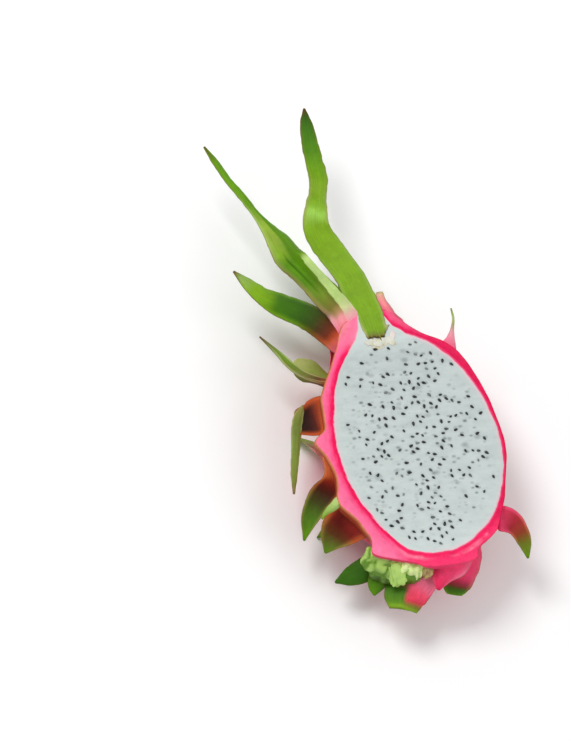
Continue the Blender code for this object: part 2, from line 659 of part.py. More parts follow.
def make_flesh():
    """The white flesh: half an ovoid with a flat cut face, out of which the seeds stand."""
    rim_count, rings = 48, 11
    rim_angles = [2 * math.pi * n / rim_count for n in range(rim_count)]
    rim = [(FLESH_HALF_WIDTH * math.cos(a), FLESH_HALF_LENGTH * math.sin(a)) for a in rim_angles]
    vertices = [(x, y, CUT_HEIGHT) for x, y in rim]
    faces = []
    for ring in range(1, rings):
        sink = 0.5 * math.pi * ring / rings
        for x, y in rim:
            depth = FLESH_HALF_WIDTH * DEPTH_SHARE * math.sin(sink)
            vertices.append((x * math.cos(sink), y * math.cos(sink), CUT_HEIGHT - depth))
    bottom = len(vertices)
    vertices.append((0, 0, CUT_HEIGHT - FLESH_HALF_WIDTH * DEPTH_SHARE))
    for ring in range(rings - 1):
        for j in range(rim_count):
            k = (j + 1) % rim_count
            a, b = ring * rim_count + j, ring * rim_count + k
            faces.append((a, b, b + rim_count, a + rim_count))
    last = (rings - 1) * rim_count
    faces += [(last + j, last + (j + 1) % rim_count, bottom) for j in range(rim_count)]

    places = seed_places()
    flat = list(rim)
    loops = [list(range(rim_count))]
    for place in places:
        loops.append(list(range(len(flat), len(flat) + 6)))
        flat += seed_outline(place)
    edges = [(a, b) for loop in loops for a, b in zip(loop, loop[1:] + loop[:1])]
    points, _, triangles, origins, *_ = delaunay_2d_cdt([list(p) for p in flat], edges, [], 1, 1e-7)
    number = {}
    for n, came_from in enumerate(origins):
        first = came_from[0]
        if first < rim_count:
            number[n] = first
        else:
            number[n] = len(vertices)
            vertices.append((points[n][0], points[n][1], CUT_HEIGHT))
    firsts = [came_from[0] for came_from in origins]
    seed_of = {n: (first - rim_count) // 6 for n, first in enumerate(firsts) if first >= rim_count}
    for triangle in triangles:
        owners = {seed_of.get(n) for n in triangle}
        if len(owners) == 1 and None not in owners:
            continue
        faces.append([number[n] for n in triangle])
    corner = {came_from[0]: number[n] for n, came_from in enumerate(origins)}
    for n, (x, y, turn, size) in enumerate(places):
        ring = [corner[rim_count + 6 * n + j] for j in range(6)]
        reach = 0.22 * size * SEED_LENGTH
        top = len(vertices)
        for way in (1, -1):
            vertices.append(
                (x + way * reach * math.cos(turn), y + way * reach * math.sin(turn), CUT_HEIGHT + SEED_RISE)
            )
        front, back = top, top + 1
        faces += [(ring[5], ring[0], front), (ring[0], ring[1], front), (ring[2], ring[3], back)]
        faces += [(ring[3], ring[4], back), (ring[1], ring[2], back, front), (ring[4], ring[5], front, back)]
    return new_mesh_object("flesh_with_seeds", vertices, faces)


def paint(obj, name, colour, roughness):
    """A plain material for one piece."""
    material = bpy.data.materials.new(name)
    material.use_nodes = True
    shader = material.node_tree.nodes["Principled BSDF"]
    shader.inputs["Base Color"].default_value = (*colour, 1)
    shader.inputs["Roughness"].default_value = roughness
    shader.inputs["Metallic"].default_value = 0.0
    obj.data.materials.clear()
    obj.data.materials.append(material)


def main():
    for obj in list(bpy.data.objects):
        bpy.data.objects.remove(obj)
    rind = make_rind()
    flesh = make_flesh()
    paint(rind, "pink_rind", (0.78, 0.06, 0.19), 0.45)
    paint(flesh, "white_flesh", (0.74, 0.79, 0.78), 0.35)


main()
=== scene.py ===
"""The look of one half of a white-fleshed dragon fruit, lying on its rind with the cut face up.

Shapes are worked out in millimetres in the CAD's frame and made in metres. Y runs along the fruit towards
the crown, and the knife's plane is level with the top of the CAD's flesh.
"""

import math
import random
from collections import namedtuple

import bmesh
import bpy
import numpy as np
from mathutils import Matrix, Vector, noise


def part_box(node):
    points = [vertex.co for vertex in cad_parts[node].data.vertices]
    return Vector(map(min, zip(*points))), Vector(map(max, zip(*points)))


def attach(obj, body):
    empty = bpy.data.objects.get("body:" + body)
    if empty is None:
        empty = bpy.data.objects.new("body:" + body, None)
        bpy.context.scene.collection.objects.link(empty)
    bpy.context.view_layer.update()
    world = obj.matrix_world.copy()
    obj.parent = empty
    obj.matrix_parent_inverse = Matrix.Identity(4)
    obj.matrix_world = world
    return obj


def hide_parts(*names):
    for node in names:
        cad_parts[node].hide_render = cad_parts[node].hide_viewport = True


MM = 0.001
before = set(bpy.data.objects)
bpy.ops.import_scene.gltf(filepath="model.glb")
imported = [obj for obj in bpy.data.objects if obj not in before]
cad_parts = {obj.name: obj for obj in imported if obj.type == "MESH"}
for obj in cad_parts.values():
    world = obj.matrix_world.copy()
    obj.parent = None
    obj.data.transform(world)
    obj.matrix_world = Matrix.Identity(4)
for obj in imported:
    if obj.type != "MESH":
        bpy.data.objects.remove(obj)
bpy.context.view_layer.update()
FLESH_LOW, FLESH_HIGH = (np.array(corner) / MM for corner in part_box("flesh_with_seeds"))

# Driving dimensions, counts and shares, as the CAD has them, in millimetres
SEED_RISE = 0.45
FLESH_HALF_WIDTH = (FLESH_HIGH[0] - FLESH_LOW[0]) / 2
FLESH_HALF_LENGTH = (FLESH_HIGH[1] - FLESH_LOW[1]) / 2
CUT_HEIGHT = FLESH_HIGH[2] - SEED_RISE
SKIN_HALF_WIDTH = FLESH_HALF_WIDTH + 3.8
SKIN_HALF_LENGTH = FLESH_HALF_LENGTH + 5.0
DEPTH_SHARE = 0.965
FLOOR_CLEARANCE = 0.4
COLLAR_RADIUS = 13.0
COLLAR_TOP = 65.0
SWELL_BELOW = 17.0
SWELL_ABOVE = 3.5
SWELL_HEIGHT = 3.0
BACK_CUP = 0.25
RIM_REACH = 24.0
SEED_COUNT = 205
SEED_LENGTH = 2.15
SEED_WIDTH = 1.2
SEED_SPACING = 2.6
SEEDLESS_RIM = 3.2
MOST_SEED_TRIES = 90000

# The outline of the rind in the knife's plane: y, and the distance from the fruit's axis
RIGHT_RIM = [
    (-58, 14), (-54, 17), (-52.5, 21), (-48, 27), (-41, 30.5), (-33, 34.5), (-24.5, 37), (-12.5, 40.8),
    (-5, 41.7), (2.5, 41.2), (15.5, 39.6), (25, 37.2), (35, 33.8), (42, 30.2), (48, 24), (52, 16),
    (57, 10), (61, 6.5), (63.5, 4.5), (65, 3),
]
LEFT_RIM = [
    (-60, 12), (-57, 20), (-54, 29), (-52, 35), (-50, 36), (-47, 34.7), (-43.5, 34.3), (-40, 36.4),
    (-34, 38.8), (-29.5, 42.4), (-26, 45.4), (-21.5, 45.8), (-17, 44.2), (-12, 43.4), (-7, 44.1),
    (0, 46.2), (5, 49.4), (7.7, 49.6), (10, 45.8), (12, 42.8), (21, 41.7), (27.5, 41.2), (31, 39.3),
    (36, 36.4), (42.5, 32.2), (47.5, 29.4), (52, 26.8), (57, 24.8), (61, 22.5), (63.5, 19), (65, 13),
]


# One scale of the rounded back. around is the angle of its foot about the fruit's axis: 0 at the right
# rim, 90 under the fruit, 180 at the left rim. along is its foot's place on the axis. rise is the angle,
# from lying up along the rind, at which it leaves, curl the angle at its tip, and lean turns it sideways.
Scale = namedtuple("Scale", "around along length width rise curl lean")

# The scales on the rounded back: rows from the base to the crown, staggered from row to row, as the place
# along the axis, the first scale's angle, the angle to the next, the number of scales and how many of
# them grow, then length, width, rise and curl
BACK_ROWS = [
    (-46, 62, 44, 2, 2, 17, 19, 40, 150),
    (-36, 48, 45, 3, 3, 24, 25, 16, 80),
    (-18, 38, 38, 4, 3, 27, 27, 14, 70),
    (1, 55, 40, 3, 3, 29, 28, 12, 66),
    (20, 38, 38, 4, 3, 31, 26, 12, 58),
    (38, 55, 40, 3, 3, 37, 22, 10, 50),
]
BACK_JITTER = 3.0

# The blades that show beside the cut, as points down their middle: x, y, height above the knife's plane,
# half width, thickness and roll. Roll 0 turns the broad face up. The centre bract was cut short by the
# knife and lies over the rind.
CENTRE_BRACT = [
    (-6.5, 53.5, 0.3, 5.6, 0.6, -2),
    (-7, 59.5, 0.3, 6.2, 1.2, -2),
    (-7.9, 67, 0.1, 6.9, 1.6, -4),
    (-9.8, 75.2, -0.6, 7.3, 1.8, -6),
    (-10.9, 84.2, -2, 6.8, 2.0, -8),
    (-13.5, 92.5, -3.5, 6.6, 1.8, -10),
    (-16.5, 100, -4, 6.9, 1.8, -10),
    (-20, 107.5, -3, 6.9, 1.8, -4),
    (-21, 113.5, -1.5, 6.3, 1.7, 0),
    (-19, 120.5, -1.5, 5.6, 1.6, 8),
    (-15.5, 129, -3.5, 4.6, 1.5, 14),
    (-12.5, 137.5, -6, 4.9, 1.4, 6),
    (-12, 146, -7, 4.3, 1.3, -4),
    (-12, 155.5, -6.5, 3.9, 1.2, -8),
    (-11.5, 164.5, -6, 3.0, 1.0, -4),
    (-11, 172, -5, 0.5, 0.8, 4),
]

# The other blades in the same form, each after how far its edges bend down
RIM_BLADES = {
    "left_bract": (0.3, [
        (-17, 60, -4, 7.0, 8.0, 0), (-19.8, 69.3, -4, 5.8, 7.0, 0), (-24.1, 77, -4.5, 5.8, 5.0, 2),
        (-28.7, 85.7, -5, 5.5, 3.2, 4), (-32.9, 93.5, -5.5, 5.6, 2.4, 4), (-36.6, 100.2, -6, 6.4, 2.0, 4),
        (-39.1, 109, -6, 6.0, 1.8, 6), (-42.6, 116.7, -6.5, 3.9, 1.6, 8),
        (-46.5, 124.5, -7, 2.1, 1.5, 10), (-50.5, 133, -7, 2.0, 1.4, 10),
        (-55.5, 142.5, -7, 1.9, 1.2, 10), (-59.5, 152.5, -7, 1.8, 1.1, 10),
        (-63.5, 160, -6, 0.5, 0.8, 10),
    ]),
    "low_bract": (0.15, [
        (-20, 53, -7, 6.0, 6.0, 0), (-24.5, 60, -7, 6.9, 5.5, 0), (-30.3, 67.5, -7.5, 6.9, 4.0, 0),
        (-36.5, 73, -8, 7.0, 2.8, 2), (-45.5, 78.8, -8.5, 6.2, 2.2, 4), (-52, 83.5, -8.5, 5.0, 1.8, 6),
        (-58, 90, -8, 3.6, 1.4, 8), (-64.5, 97.5, -7, 0.5, 0.8, 10),
    ]),
    "back_left_bract": (0.3, [
        (-10, 52, -16, 6.0, 4.0, 0), (-10, 65, -17, 5.5, 3.2, 0), (-12, 77, -20, 5.6, 2.4, -6),
        (-16, 88, -22, 5.0, 1.8, -10), (-19, 96, -23.5, 3.4, 1.4, -6), (-21.5, 101.5, -24, 0.5, 0.8, 0),
    ]),
    "back_centre_bract": (0.3, [
        (0, 51, -18, 6.0, 4.0, 0), (0.5, 63, -20, 5.5, 3.0, 0), (-1.5, 75, -23, 5.6, 2.2, 8),
        (-4.5, 85.5, -25.5, 4.2, 1.7, 12), (-8, 94.5, -27, 0.5, 0.8, 12),
    ]),
    "top_strip": (0.1, [
        (11, 53, -1.6, 2.8, 3.4, 0), (7, 57, -1.5, 3.1, 3.4, 0), (4, 61.5, -1.4, 3.1, 3.2, 0),
        (2, 66.5, -1.3, 2.8, 2.8, 0), (0.5, 71, -1.1, 2.4, 2.4, 0), (0.5, 75.5, -0.9, 1.7, 1.6, 0),
    ]),
    "top_horn": (0.1, [
        (25.5, 40.5, -2.6, 6.0, 4.0, 10), (28, 45, -2.4, 4.3, 3.2, 20), (30, 49, -2.2, 2.6, 2.2, 35),
        (31.5, 53.5, -2, 1.7, 1.5, 60), (33, 58, -1.6, 1.2, 1.2, 70), (33, 63, -1.2, 0.4, 0.8, 80),
    ]),
    "base_horn": (-0.2, [
        (30, -41, -5, 6.0, 4.5, 10), (34, -41.5, -6, 6.0, 3.5, 20), (38, -43, -8, 5.2, 2.4, 20),
        (41, -46.5, -10, 4.2, 1.8, 20), (43, -52, -12, 3.2, 1.4, 20), (43, -59.5, -13, 0.5, 0.8, 20),
    ]),
    "upper_left": (-0.3, [
        (-31, 35.5, -6, 4.0, 4.0, 55), (-37.5, 38.5, -8, 4.0, 2.6, 50), (-43.5, 43, -10, 4.5, 1.8, 45),
        (-48.5, 49, -11, 4.5, 1.5, 45), (-53, 56.5, -11, 3.5, 1.2, 50), (-59, 65, -10, 0.5, 0.8, 60),
    ]),
    "upper_lobe": (0.2, [
        (-27.5, 36, -11, 3.0, 3.4, 0), (-31.5, 40, -12.5, 3.4, 2.6, 0), (-35, 44, -13.5, 4.8, 2.0, 0),
        (-38, 47, -14.5, 6.2, 1.6, 0), (-40, 49.5, -15, 5.8, 1.4, 0), (-41.5, 52, -15.5, 3.6, 1.2, 0),
        (-42.2, 53.5, -15.5, 1.0, 1.0, 0),
    ]),
    "middle_left": (-0.3, [
        (-37, 19.5, -4, 9.5, 4.5, 4), (-41.5, 20.5, -6.5, 9.4, 3.0, 0), (-45.7, 20.3, -9, 8.0, 2.0, 0),
        (-49.3, 21.2, -11.8, 6.8, 1.6, 0), (-51.6, 21.5, -13, 4.2, 1.4, 0),
        (-52.6, 21.7, -13.2, 1.2, 1.2, 0),
    ]),
    "middle_tail": (0.2, [
        (-46.8, 28.3, -9.5, 0.8, 1.6, 20), (-48.8, 25.9, -9.9, 1.8, 1.8, 20),
        (-51, 22.3, -10, 2.4, 1.8, 15), (-52.9, 17.2, -10.2, 2.5, 1.6, 10),
        (-54.8, 10.2, -10.5, 2.2, 1.5, 10), (-57, 3.1, -11, 1.9, 1.4, 10),
        (-59, -3.9, -11.5, 1.6, 1.2, 10), (-61.3, -12.9, -12, 0.5, 0.8, 10),
    ]),
    "lower_left": (-0.3, [
        (-44, 4, -3.2, 1.6, 2.4, 10), (-44, -1, -3.6, 2.4, 2.8, 10), (-43.5, -6.5, -4.5, 3.4, 3.0, 6),
        (-44, -10.5, -7, 4.8, 3.0, 0), (-46.5, -14, -11, 6.2, 2.2, -4), (-51, -18.5, -14, 5.6, 1.7, 0),
        (-55.5, -25, -16.5, 4.0, 1.3, 8), (-60, -34, -18, 0.5, 0.8, 14),
    ]),
    "base_left": (-0.25, [
        (-32.5, -28, -4, 10.5, 4.5, -8), (-37, -30, -8, 10.5, 3.2, -8), (-42, -32, -12, 9.5, 2.2, -4),
        (-46.5, -35.5, -16, 7.0, 1.6, 0), (-51.5, -41.5, -18, 0.5, 0.8, 4),
    ]),
    "cut_edge": (0.0, [
        (-40.5, -21.5, -1.8, 2.6, 3.6, 0), (-44.5, -23, -1.8, 2.5, 3.4, 0),
        (-48.5, -25.5, -1.9, 2.0, 3.0, 0), (-52, -27.5, -2.2, 1.2, 2.2, 0),
        (-54.5, -30, -2.8, 0.4, 1.0, 0),
    ]),
    "base_tongue": (0.2, [
        (5.5, -53, -3.5, 10, 6.0, 0), (2.5, -58, -5, 9.5, 5.5, 0), (-2, -63, -7, 6.5, 4.2, 0),
        (-5.5, -70, -9, 0.8, 1.8, 0),
    ]),
    "base_right": (0.2, [
        (12, -51, -6, 8.0, 5.0, 0), (11, -56.5, -9, 8.5, 3.8, 0), (8.5, -62, -12, 8.0, 2.8, 0),
        (6.5, -66.5, -15, 7.0, 2.0, 0), (5.5, -69, -17, 5.4, 1.4, 0), (5, -70.5, -18, 3.5, 0.9, 0),
    ]),
    "stem_scale": (0.25, [
        (-6, -54.5, -10, 8.0, 5.0, 0), (-11, -59.5, -12, 10.0, 3.4, 0), (-16, -63.5, -14, 11.0, 2.4, 0),
        (-19.3, -68.5, -15, 10.2, 1.8, 0), (-20.8, -72, -15.5, 8.4, 1.4, 0),
        (-21.8, -74.8, -15.5, 6.6, 1.0, 0),
    ]),
    "small_base": (0.2, [
        (-24.5, -53, -14, 5.0, 3.0, 0), (-29, -57.5, -17, 5.0, 2.2, 0), (-31.5, -61.5, -19, 3.4, 1.5, 0),
        (-32.5, -64.5, -20, 0.5, 0.8, 0),
    ]),
    "low_base": (0.2, [
        (-26, -49.5, -16, 6.0, 3.0, 0), (-33, -51, -20, 6.0, 2.2, 0), (-41, -53, -22, 4.5, 1.5, 0),
        (-48.5, -54.5, -23, 0.5, 0.8, 0),
    ]),
}


def smooth(t):
    """0 to 1 with level ends."""
    t = np.clip(t, 0.0, 1.0)
    return t * t * (3 - 2 * t)


def unit(v):
    return v / np.linalg.norm(v, axis=-1, keepdims=True)


def turned(vector, axis, degrees):
    """vector turned about a unit axis."""
    angle = math.radians(degrees)
    along = np.dot(axis, vector) * axis
    return along + (vector - along) * math.cos(angle) + np.cross(axis, vector) * math.sin(angle)


def back_scales():
    """The scales of the rounded back, from the rows above with a little seeded disorder."""
    draw = random.Random(7)
    made = []
    for place, first, step, count, shown, length, width, rise, curl in BACK_ROWS:
        for n in range(count):
            around = first + n * step + draw.uniform(-BACK_JITTER, BACK_JITTER)
            along = place + draw.uniform(-BACK_JITTER, BACK_JITTER)
            size = draw.uniform(0.9, 1.1)
            lean = draw.uniform(-10, 10)
            if n < shown:
                made.append(Scale(around, along, length * size, width, rise, curl * spread(around), lean))
    return made


def spread(around):
    """How freely a scale can curl: most on the left, less under the fruit and least below the right rim."""
    left = -math.cos(math.radians(around))
    return 0.5 + 0.5 * left if left > 0 else 0.5 + 0.3 * left


def smooth_skin_radius(y):
    """The rind's radius before its swellings: an ellipse that runs up into the collar of the crown."""
    body = SKIN_HALF_WIDTH * np.sqrt(np.clip(1 - (y / SKIN_HALF_LENGTH) ** 2, 0, 1))
    collar = COLLAR_RADIUS * smooth((y - 20) / 30) * np.sqrt(np.clip((COLLAR_TOP + 1 - y) / 4, 0, 1))
    return (body**5 + collar**5) ** 0.2


def rim_distance(y, table):
    """The rim's distance from the axis, with the corners of its table rounded."""
    places, distances = np.array(table).T
    near = [np.interp(y + step, places, distances) for step in (-1.4, -0.7, 0, 0.7, 1.4)]
    return sum(near) / len(near)


def skin_radius(around, y, scales):
    """The rind's radius with the swelling below each scale, sharp above its foot and long below it."""
    around, y = np.broadcast_arrays(np.asarray(around, float), np.asarray(y, float))
    radius = smooth_skin_radius(y)
    fade = np.clip(radius / 15, 0, 1)
    total = radius.copy()
    for side, table in ((0, RIGHT_RIM), (180, LEFT_RIM)):
        off = (np.mod(around - side + 180, 360) - 180) / RIM_REACH
        total = total + (rim_distance(y, table) - radius) * np.exp(-(off**2))
    for scale in scales:
        sideways = (np.mod(around - scale.around + 180, 360) - 180) * math.pi / 180 * radius
        up = y - scale.along
        reach = np.where(up < 0, SWELL_BELOW, SWELL_ABOVE)
        half_width = scale.width * 0.42 * np.clip(1 + up / (2.2 * SWELL_BELOW), 0.3, 1)
        total = total + fade * SWELL_HEIGHT * np.exp(-((up / reach) ** 2) - (sideways / half_width) ** 2)
    return total


def skin_point(around, y, scales):
    """A point on the rind, flattened a little where the fruit rests."""
    radius = skin_radius(around, y, scales)
    angle = np.radians(around)
    z = np.maximum(CUT_HEIGHT - radius * np.sin(angle) * DEPTH_SHARE, 0.0)
    return np.stack(np.broadcast_arrays(radius * np.cos(angle), y, z), axis=-1)


def smooth_line(rows, count):
    """The given rows, joined by a smooth curve through them, at evenly spaced places."""
    rows = np.array(rows, float)
    padded = np.vstack([2 * rows[0] - rows[1], rows, 2 * rows[-1] - rows[-2]])
    places = np.linspace(0, len(rows) - 1, count)
    found = []
    for place in places:
        n = min(int(place), len(rows) - 2)
        t = place - n
        a, b, c, d = padded[n : n + 4]
        square, cube = 2 * a - 5 * b + 4 * c - d, 3 * b - a - 3 * c + d
        found.append(0.5 * (2 * b + (c - a) * t + square * t**2 + cube * t**3))
    return np.array(found)


def seed_places():
    """Where the seeds show on the cut face: a seeded scatter in loose groups, denser down the middle."""
    draw = random.Random(31)
    half_width, half_length = FLESH_HALF_WIDTH - SEEDLESS_RIM, FLESH_HALF_LENGTH - SEEDLESS_RIM
    places = []
    tries = 0
    while len(places) < SEED_COUNT and tries < MOST_SEED_TRIES:
        tries += 1
        x = draw.uniform(-1, 1) * half_width
        y = draw.uniform(-1, 1) * half_length
        inside = (x / half_width) ** 2 + (y / half_length) ** 2
        middle = 0.34 * math.exp(-(((x - 4 - 0.2 * y) / 6.5) ** 2))
        base = 1.1 * math.exp(-((x / 7) ** 2) - ((y + 47) / 6) ** 2)
        bare = 0.16 * math.exp(-(((y - 52) / 9) ** 2)) + 0.12 * smooth((inside - 0.6) / 0.4)
        groups = 0.9 * noise.noise(Vector((x / 7, y / 7, 4.0)))
        if inside > 1 or draw.random() > 0.20 + middle + base - bare + groups:
            continue
        if any((x - a) ** 2 + (y - b) ** 2 < SEED_SPACING**2 for a, b, *_ in places):
            continue
        turn = draw.gauss(-20, 42)
        places.append((x, y, math.radians(turn), draw.uniform(0.72, 1.12)))
    return places


# How finely the visible shapes are divided
AROUND_STEPS = 260
ALONG_STEPS = 150
COLLAR_STEPS = 26
END_STEPS = 12
BLADE_SIDE_STEPS = 25
BLADE_ROW_SPACING = 1.3

# Measures of the visible shapes, in millimetres: the knife's cut, and the rind's two closed ends
CUT_SKIN_DROP = 0.28
KNIFE_LEVEL = CUT_HEIGHT - 0.05
PARED_THICKNESS = 0.3
COLLAR_LOW = 49.2
END_DEPTH = 6.0
BASE_SWELL = 2.2
CROWN_SWELL = 1.2


def blend(first, second, share):
    """Colours from the first to the second, by a share for each point."""
    share = np.asarray(share).reshape(-1, 1)
    return np.asarray(first) * (1 - share) + np.asarray(second) * share


def unevenness(x, y, layer):
    """Noise at points of a plane."""
    values = [noise.noise(Vector((a, b, layer))) for a, b in zip(x.ravel(), y.ravel())]
    return np.array(values).reshape(x.shape)


def mesh_object(name, vertices, faces, attributes=None, materials=()):
    """A smooth-shaded mesh from millimetres, with a float or colour on its points for each name given."""
    mesh = bpy.data.meshes.new(name)
    vertices = np.asarray(vertices, float) * MM
    faces = [tuple(int(i) for i in face) for face in faces]
    mesh.from_pydata(vertices.tolist(), [], faces)
    for key, values in (attributes or {}).items():
        values = np.asarray(values, np.float32)
        if values.shape[-1:] == (3,) and values.ndim > 1:
            layer = mesh.attributes.new(key, "FLOAT_COLOR", "POINT")
            values = np.hstack([values.reshape(-1, 3), np.ones((len(vertices), 1), np.float32)])
            layer.data.foreach_set("color", values.ravel())
        else:
            layer = mesh.attributes.new(key, "FLOAT", "POINT")
            layer.data.foreach_set("value", values.ravel())
    for material in materials:
        mesh.materials.append(material)
    mesh.polygons.foreach_set("use_smooth", np.ones(len(faces), bool))
    mesh.update()
    made = bpy.data.objects.new(name, mesh)
    bpy.context.scene.collection.objects.link(made)
    return made


def grid_faces(rows, columns, closed=False, rows_closed=False):
    """The quads of a grid of points, and round its seam too if its columns or its rows close up."""
    index = np.arange(rows * columns).reshape(rows, columns)
    if closed:
        index = np.hstack([index, index[:, :1]])
    if rows_closed:
        index = np.vstack([index, index[:1]])
    corners = [index[:-1, :-1], index[:-1, 1:], index[1:, 1:], index[1:, :-1]]
    return np.stack([c.ravel() for c in corners], axis=1)


def finish_mesh(build, obj):
    """Turns all faces outward and gives the mesh to the object."""
    bmesh.ops.recalc_face_normals(build, faces=build.faces)
    build.to_mesh(obj.data)
    build.free()


def outward(obj):
    """Turns a closed or nearly closed mesh's faces outward."""
    build = bmesh.new()
    build.from_mesh(obj.data)
    finish_mesh(build, obj)


def skin_rings(scales):
    """Rings of points from one rim, under the fruit, to the other, closed to a point at both ends."""
    around = np.linspace(0, 180, AROUND_STEPS)
    angles = np.linspace(0.05, 0.80 * math.pi, ALONG_STEPS)
    heights = [*(-SKIN_HALF_LENGTH * np.cos(angles)), *np.linspace(COLLAR_LOW, COLLAR_TOP, COLLAR_STEPS)]
    rings = [skin_point(around, y, scales) for y in heights]
    first, last = rings[0], rings[-1]
    base_middle = np.array([0.0, first[0, 1], CUT_HEIGHT - END_DEPTH])
    crown_middle = np.array([-4.0, last[0, 1], CUT_HEIGHT - END_DEPTH])
    base, crown = [], []
    for t in np.linspace(0.08, 1.0, END_STEPS):
        swell = math.sqrt(1 - (1 - t) ** 2)
        base.append(first * (1 - t) + base_middle * t + np.array([0, -BASE_SWELL * swell, 0]))
        crown.append(last * (1 - t) + crown_middle * t + np.array([0, CROWN_SWELL * swell, 0]))
        for ring in (base[-1], crown[-1]):
            ring[[0, -1], 2] = CUT_HEIGHT
    return np.array(base[::-1] + rings + crown)


def rim_outline(rings):
    """The outline of the rind in the knife's plane, as a closed polygon."""
    return np.vstack([rings[:, 0, :2], rings[::-1, -1, :2]])


def ray_to_outline(angle, outline):
    """How far the outline lies from the middle of the flesh in a direction."""
    direction = np.array([math.cos(angle), math.sin(angle)])
    step = np.roll(outline, -1, axis=0) - outline
    cross = direction[0] * step[:, 1] - direction[1] * step[:, 0]
    cross = np.where(np.abs(cross) < 1e-9, 1e-9, cross)
    far = (outline[:, 0] * step[:, 1] - outline[:, 1] * step[:, 0]) / cross
    place = (outline[:, 0] * direction[1] - outline[:, 1] * direction[0]) / cross
    return far[(place >= -1e-6) & (place <= 1 + 1e-6) & (far > 0)].max()


def make_skin(scales, material):
    """The outside of the rind."""
    rings = skin_rings(scales)
    points = rings.reshape(-1, 3)
    attributes = {
        "tint": skin_tint(points),
        "edge": np.zeros(len(points)),
        "streak_u": np.arctan2(points[:, 2] - CUT_HEIGHT, points[:, 0]) * 8,
        "streak_v": points[:, 1] / 40,
    }
    skin = mesh_object("rind_skin", points, grid_faces(*rings.shape[:2]), attributes, [material])
    outward(skin)
    return skin, rings


def skin_tint(points):
    """The rind's colour: hot pink, deeper crimson lower down as painted shade, turning brick red on its
    left side, partly its own colour and partly painted shade, and tan along the cut there.
    """
    x, y, z = points.T
    # The left side's darker brick red is partly its own colour and partly painted shade
    left = smooth((-x - 24) / 12) * smooth((z - 14) / 18) * smooth((50 - y) / 10) * smooth((y + 52) / 12)
    rim = smooth((z - CUT_HEIGHT + 2.2) / 1.6) * left
    # Deeper crimson towards the bottom of the rind, hot pink higher up: painted shade
    tint = blend(np.array(CRIMSON) * 0.85, HOT_PINK, smooth((z - 4) / 26))
    return blend(blend(tint, LEFT_SKIN, left), LEFT_SKIN_RIM, rim)


# How far the white of the cut face reaches past the flesh's ellipse, by angle from its middle, in
# millimetres. Up beside the centre bract it runs on as a narrow neck.
WHITE_REACH = [
    (0, 0.3), (20, -0.7), (40, -1.3), (60, -1.5), (75, -1.2), (82, -0.4), (88, 3.2), (91, 9), (96, 13),
    (101, 13), (104, 7), (108, 3.4), (116, 1.8), (130, 0.9), (150, -0.1), (180, 0.1), (215, 0.0),
    (228, -0.4), (240, 0.8), (250, 2.0), (260, 0.8), (270, -0.2), (290, -0.9), (305, 0.1), (345, 0.4),
    (360, 0.3),
]


def flesh_edge(angle):
    """How far the flesh's edge lies from its middle in a direction."""
    return 1 / np.hypot(np.cos(angle) / FLESH_HALF_WIDTH, np.sin(angle) / FLESH_HALF_LENGTH)


def past_white(x, y):
    """How far points of the cut face lie outside its white part, in millimetres."""
    angle = np.degrees(np.arctan2(y, x)) % 360
    places, reaches = np.array(WHITE_REACH).T
    return np.hypot(x, y) - flesh_edge(np.radians(angle)) - np.interp(angle, places, reaches)


def make_cut_rind(outline, material):
    """The knife's cut through the rind: a flat band from the flesh to the skin."""
    rays, steps = 900, 26
    angles = np.arange(rays) * 2 * math.pi / rays
    inner = flesh_edge(angles)[:, None]
    outer = np.array([ray_to_outline(angle, outline) for angle in angles])[:, None]
    reach = inner + (outer - inner) * np.linspace(0, 1, steps)
    from_flesh, from_skin = reach - inner, outer - reach
    x, y = reach * np.cos(angles)[:, None], reach * np.sin(angles)[:, None]
    rounded = CUT_SKIN_DROP * np.clip(1 - from_skin / 0.5, 0, 1) ** 2
    middle = np.clip(np.minimum(from_flesh, from_skin) / 1.5, 0, 1)
    z = CUT_HEIGHT + 0.10 * unevenness(x / 5, y / 5, 3.0) * middle - rounded
    past = past_white(x, y)
    attributes = {
        "past_white": past,
        "from_skin": from_skin,
        "along": 0.5 + 0.5 * y / FLESH_HALF_LENGTH,
        "streak_u": past / 2.2,
        "streak_v": np.repeat(angles, steps) * 3,
        "left": np.maximum(smooth((8 - x) / 24), 0.6 * smooth((y - 46) / 12)),
        "tan": smooth((-6 - x) / 12) * smooth((y + 46) / 8) * smooth((63 - y) / 3),
        "base": smooth((-y - 40) / 10) * smooth((x + 27) / 12),
        "crown": smooth((y - 47) / 9) * smooth((-x - 6) / 6),
    }
    points = np.stack([x, y, z], axis=-1).reshape(-1, 3)
    faces = grid_faces(rays, steps, rows_closed=True)
    return mesh_object("cut_rind_face", points, faces, attributes, [material])


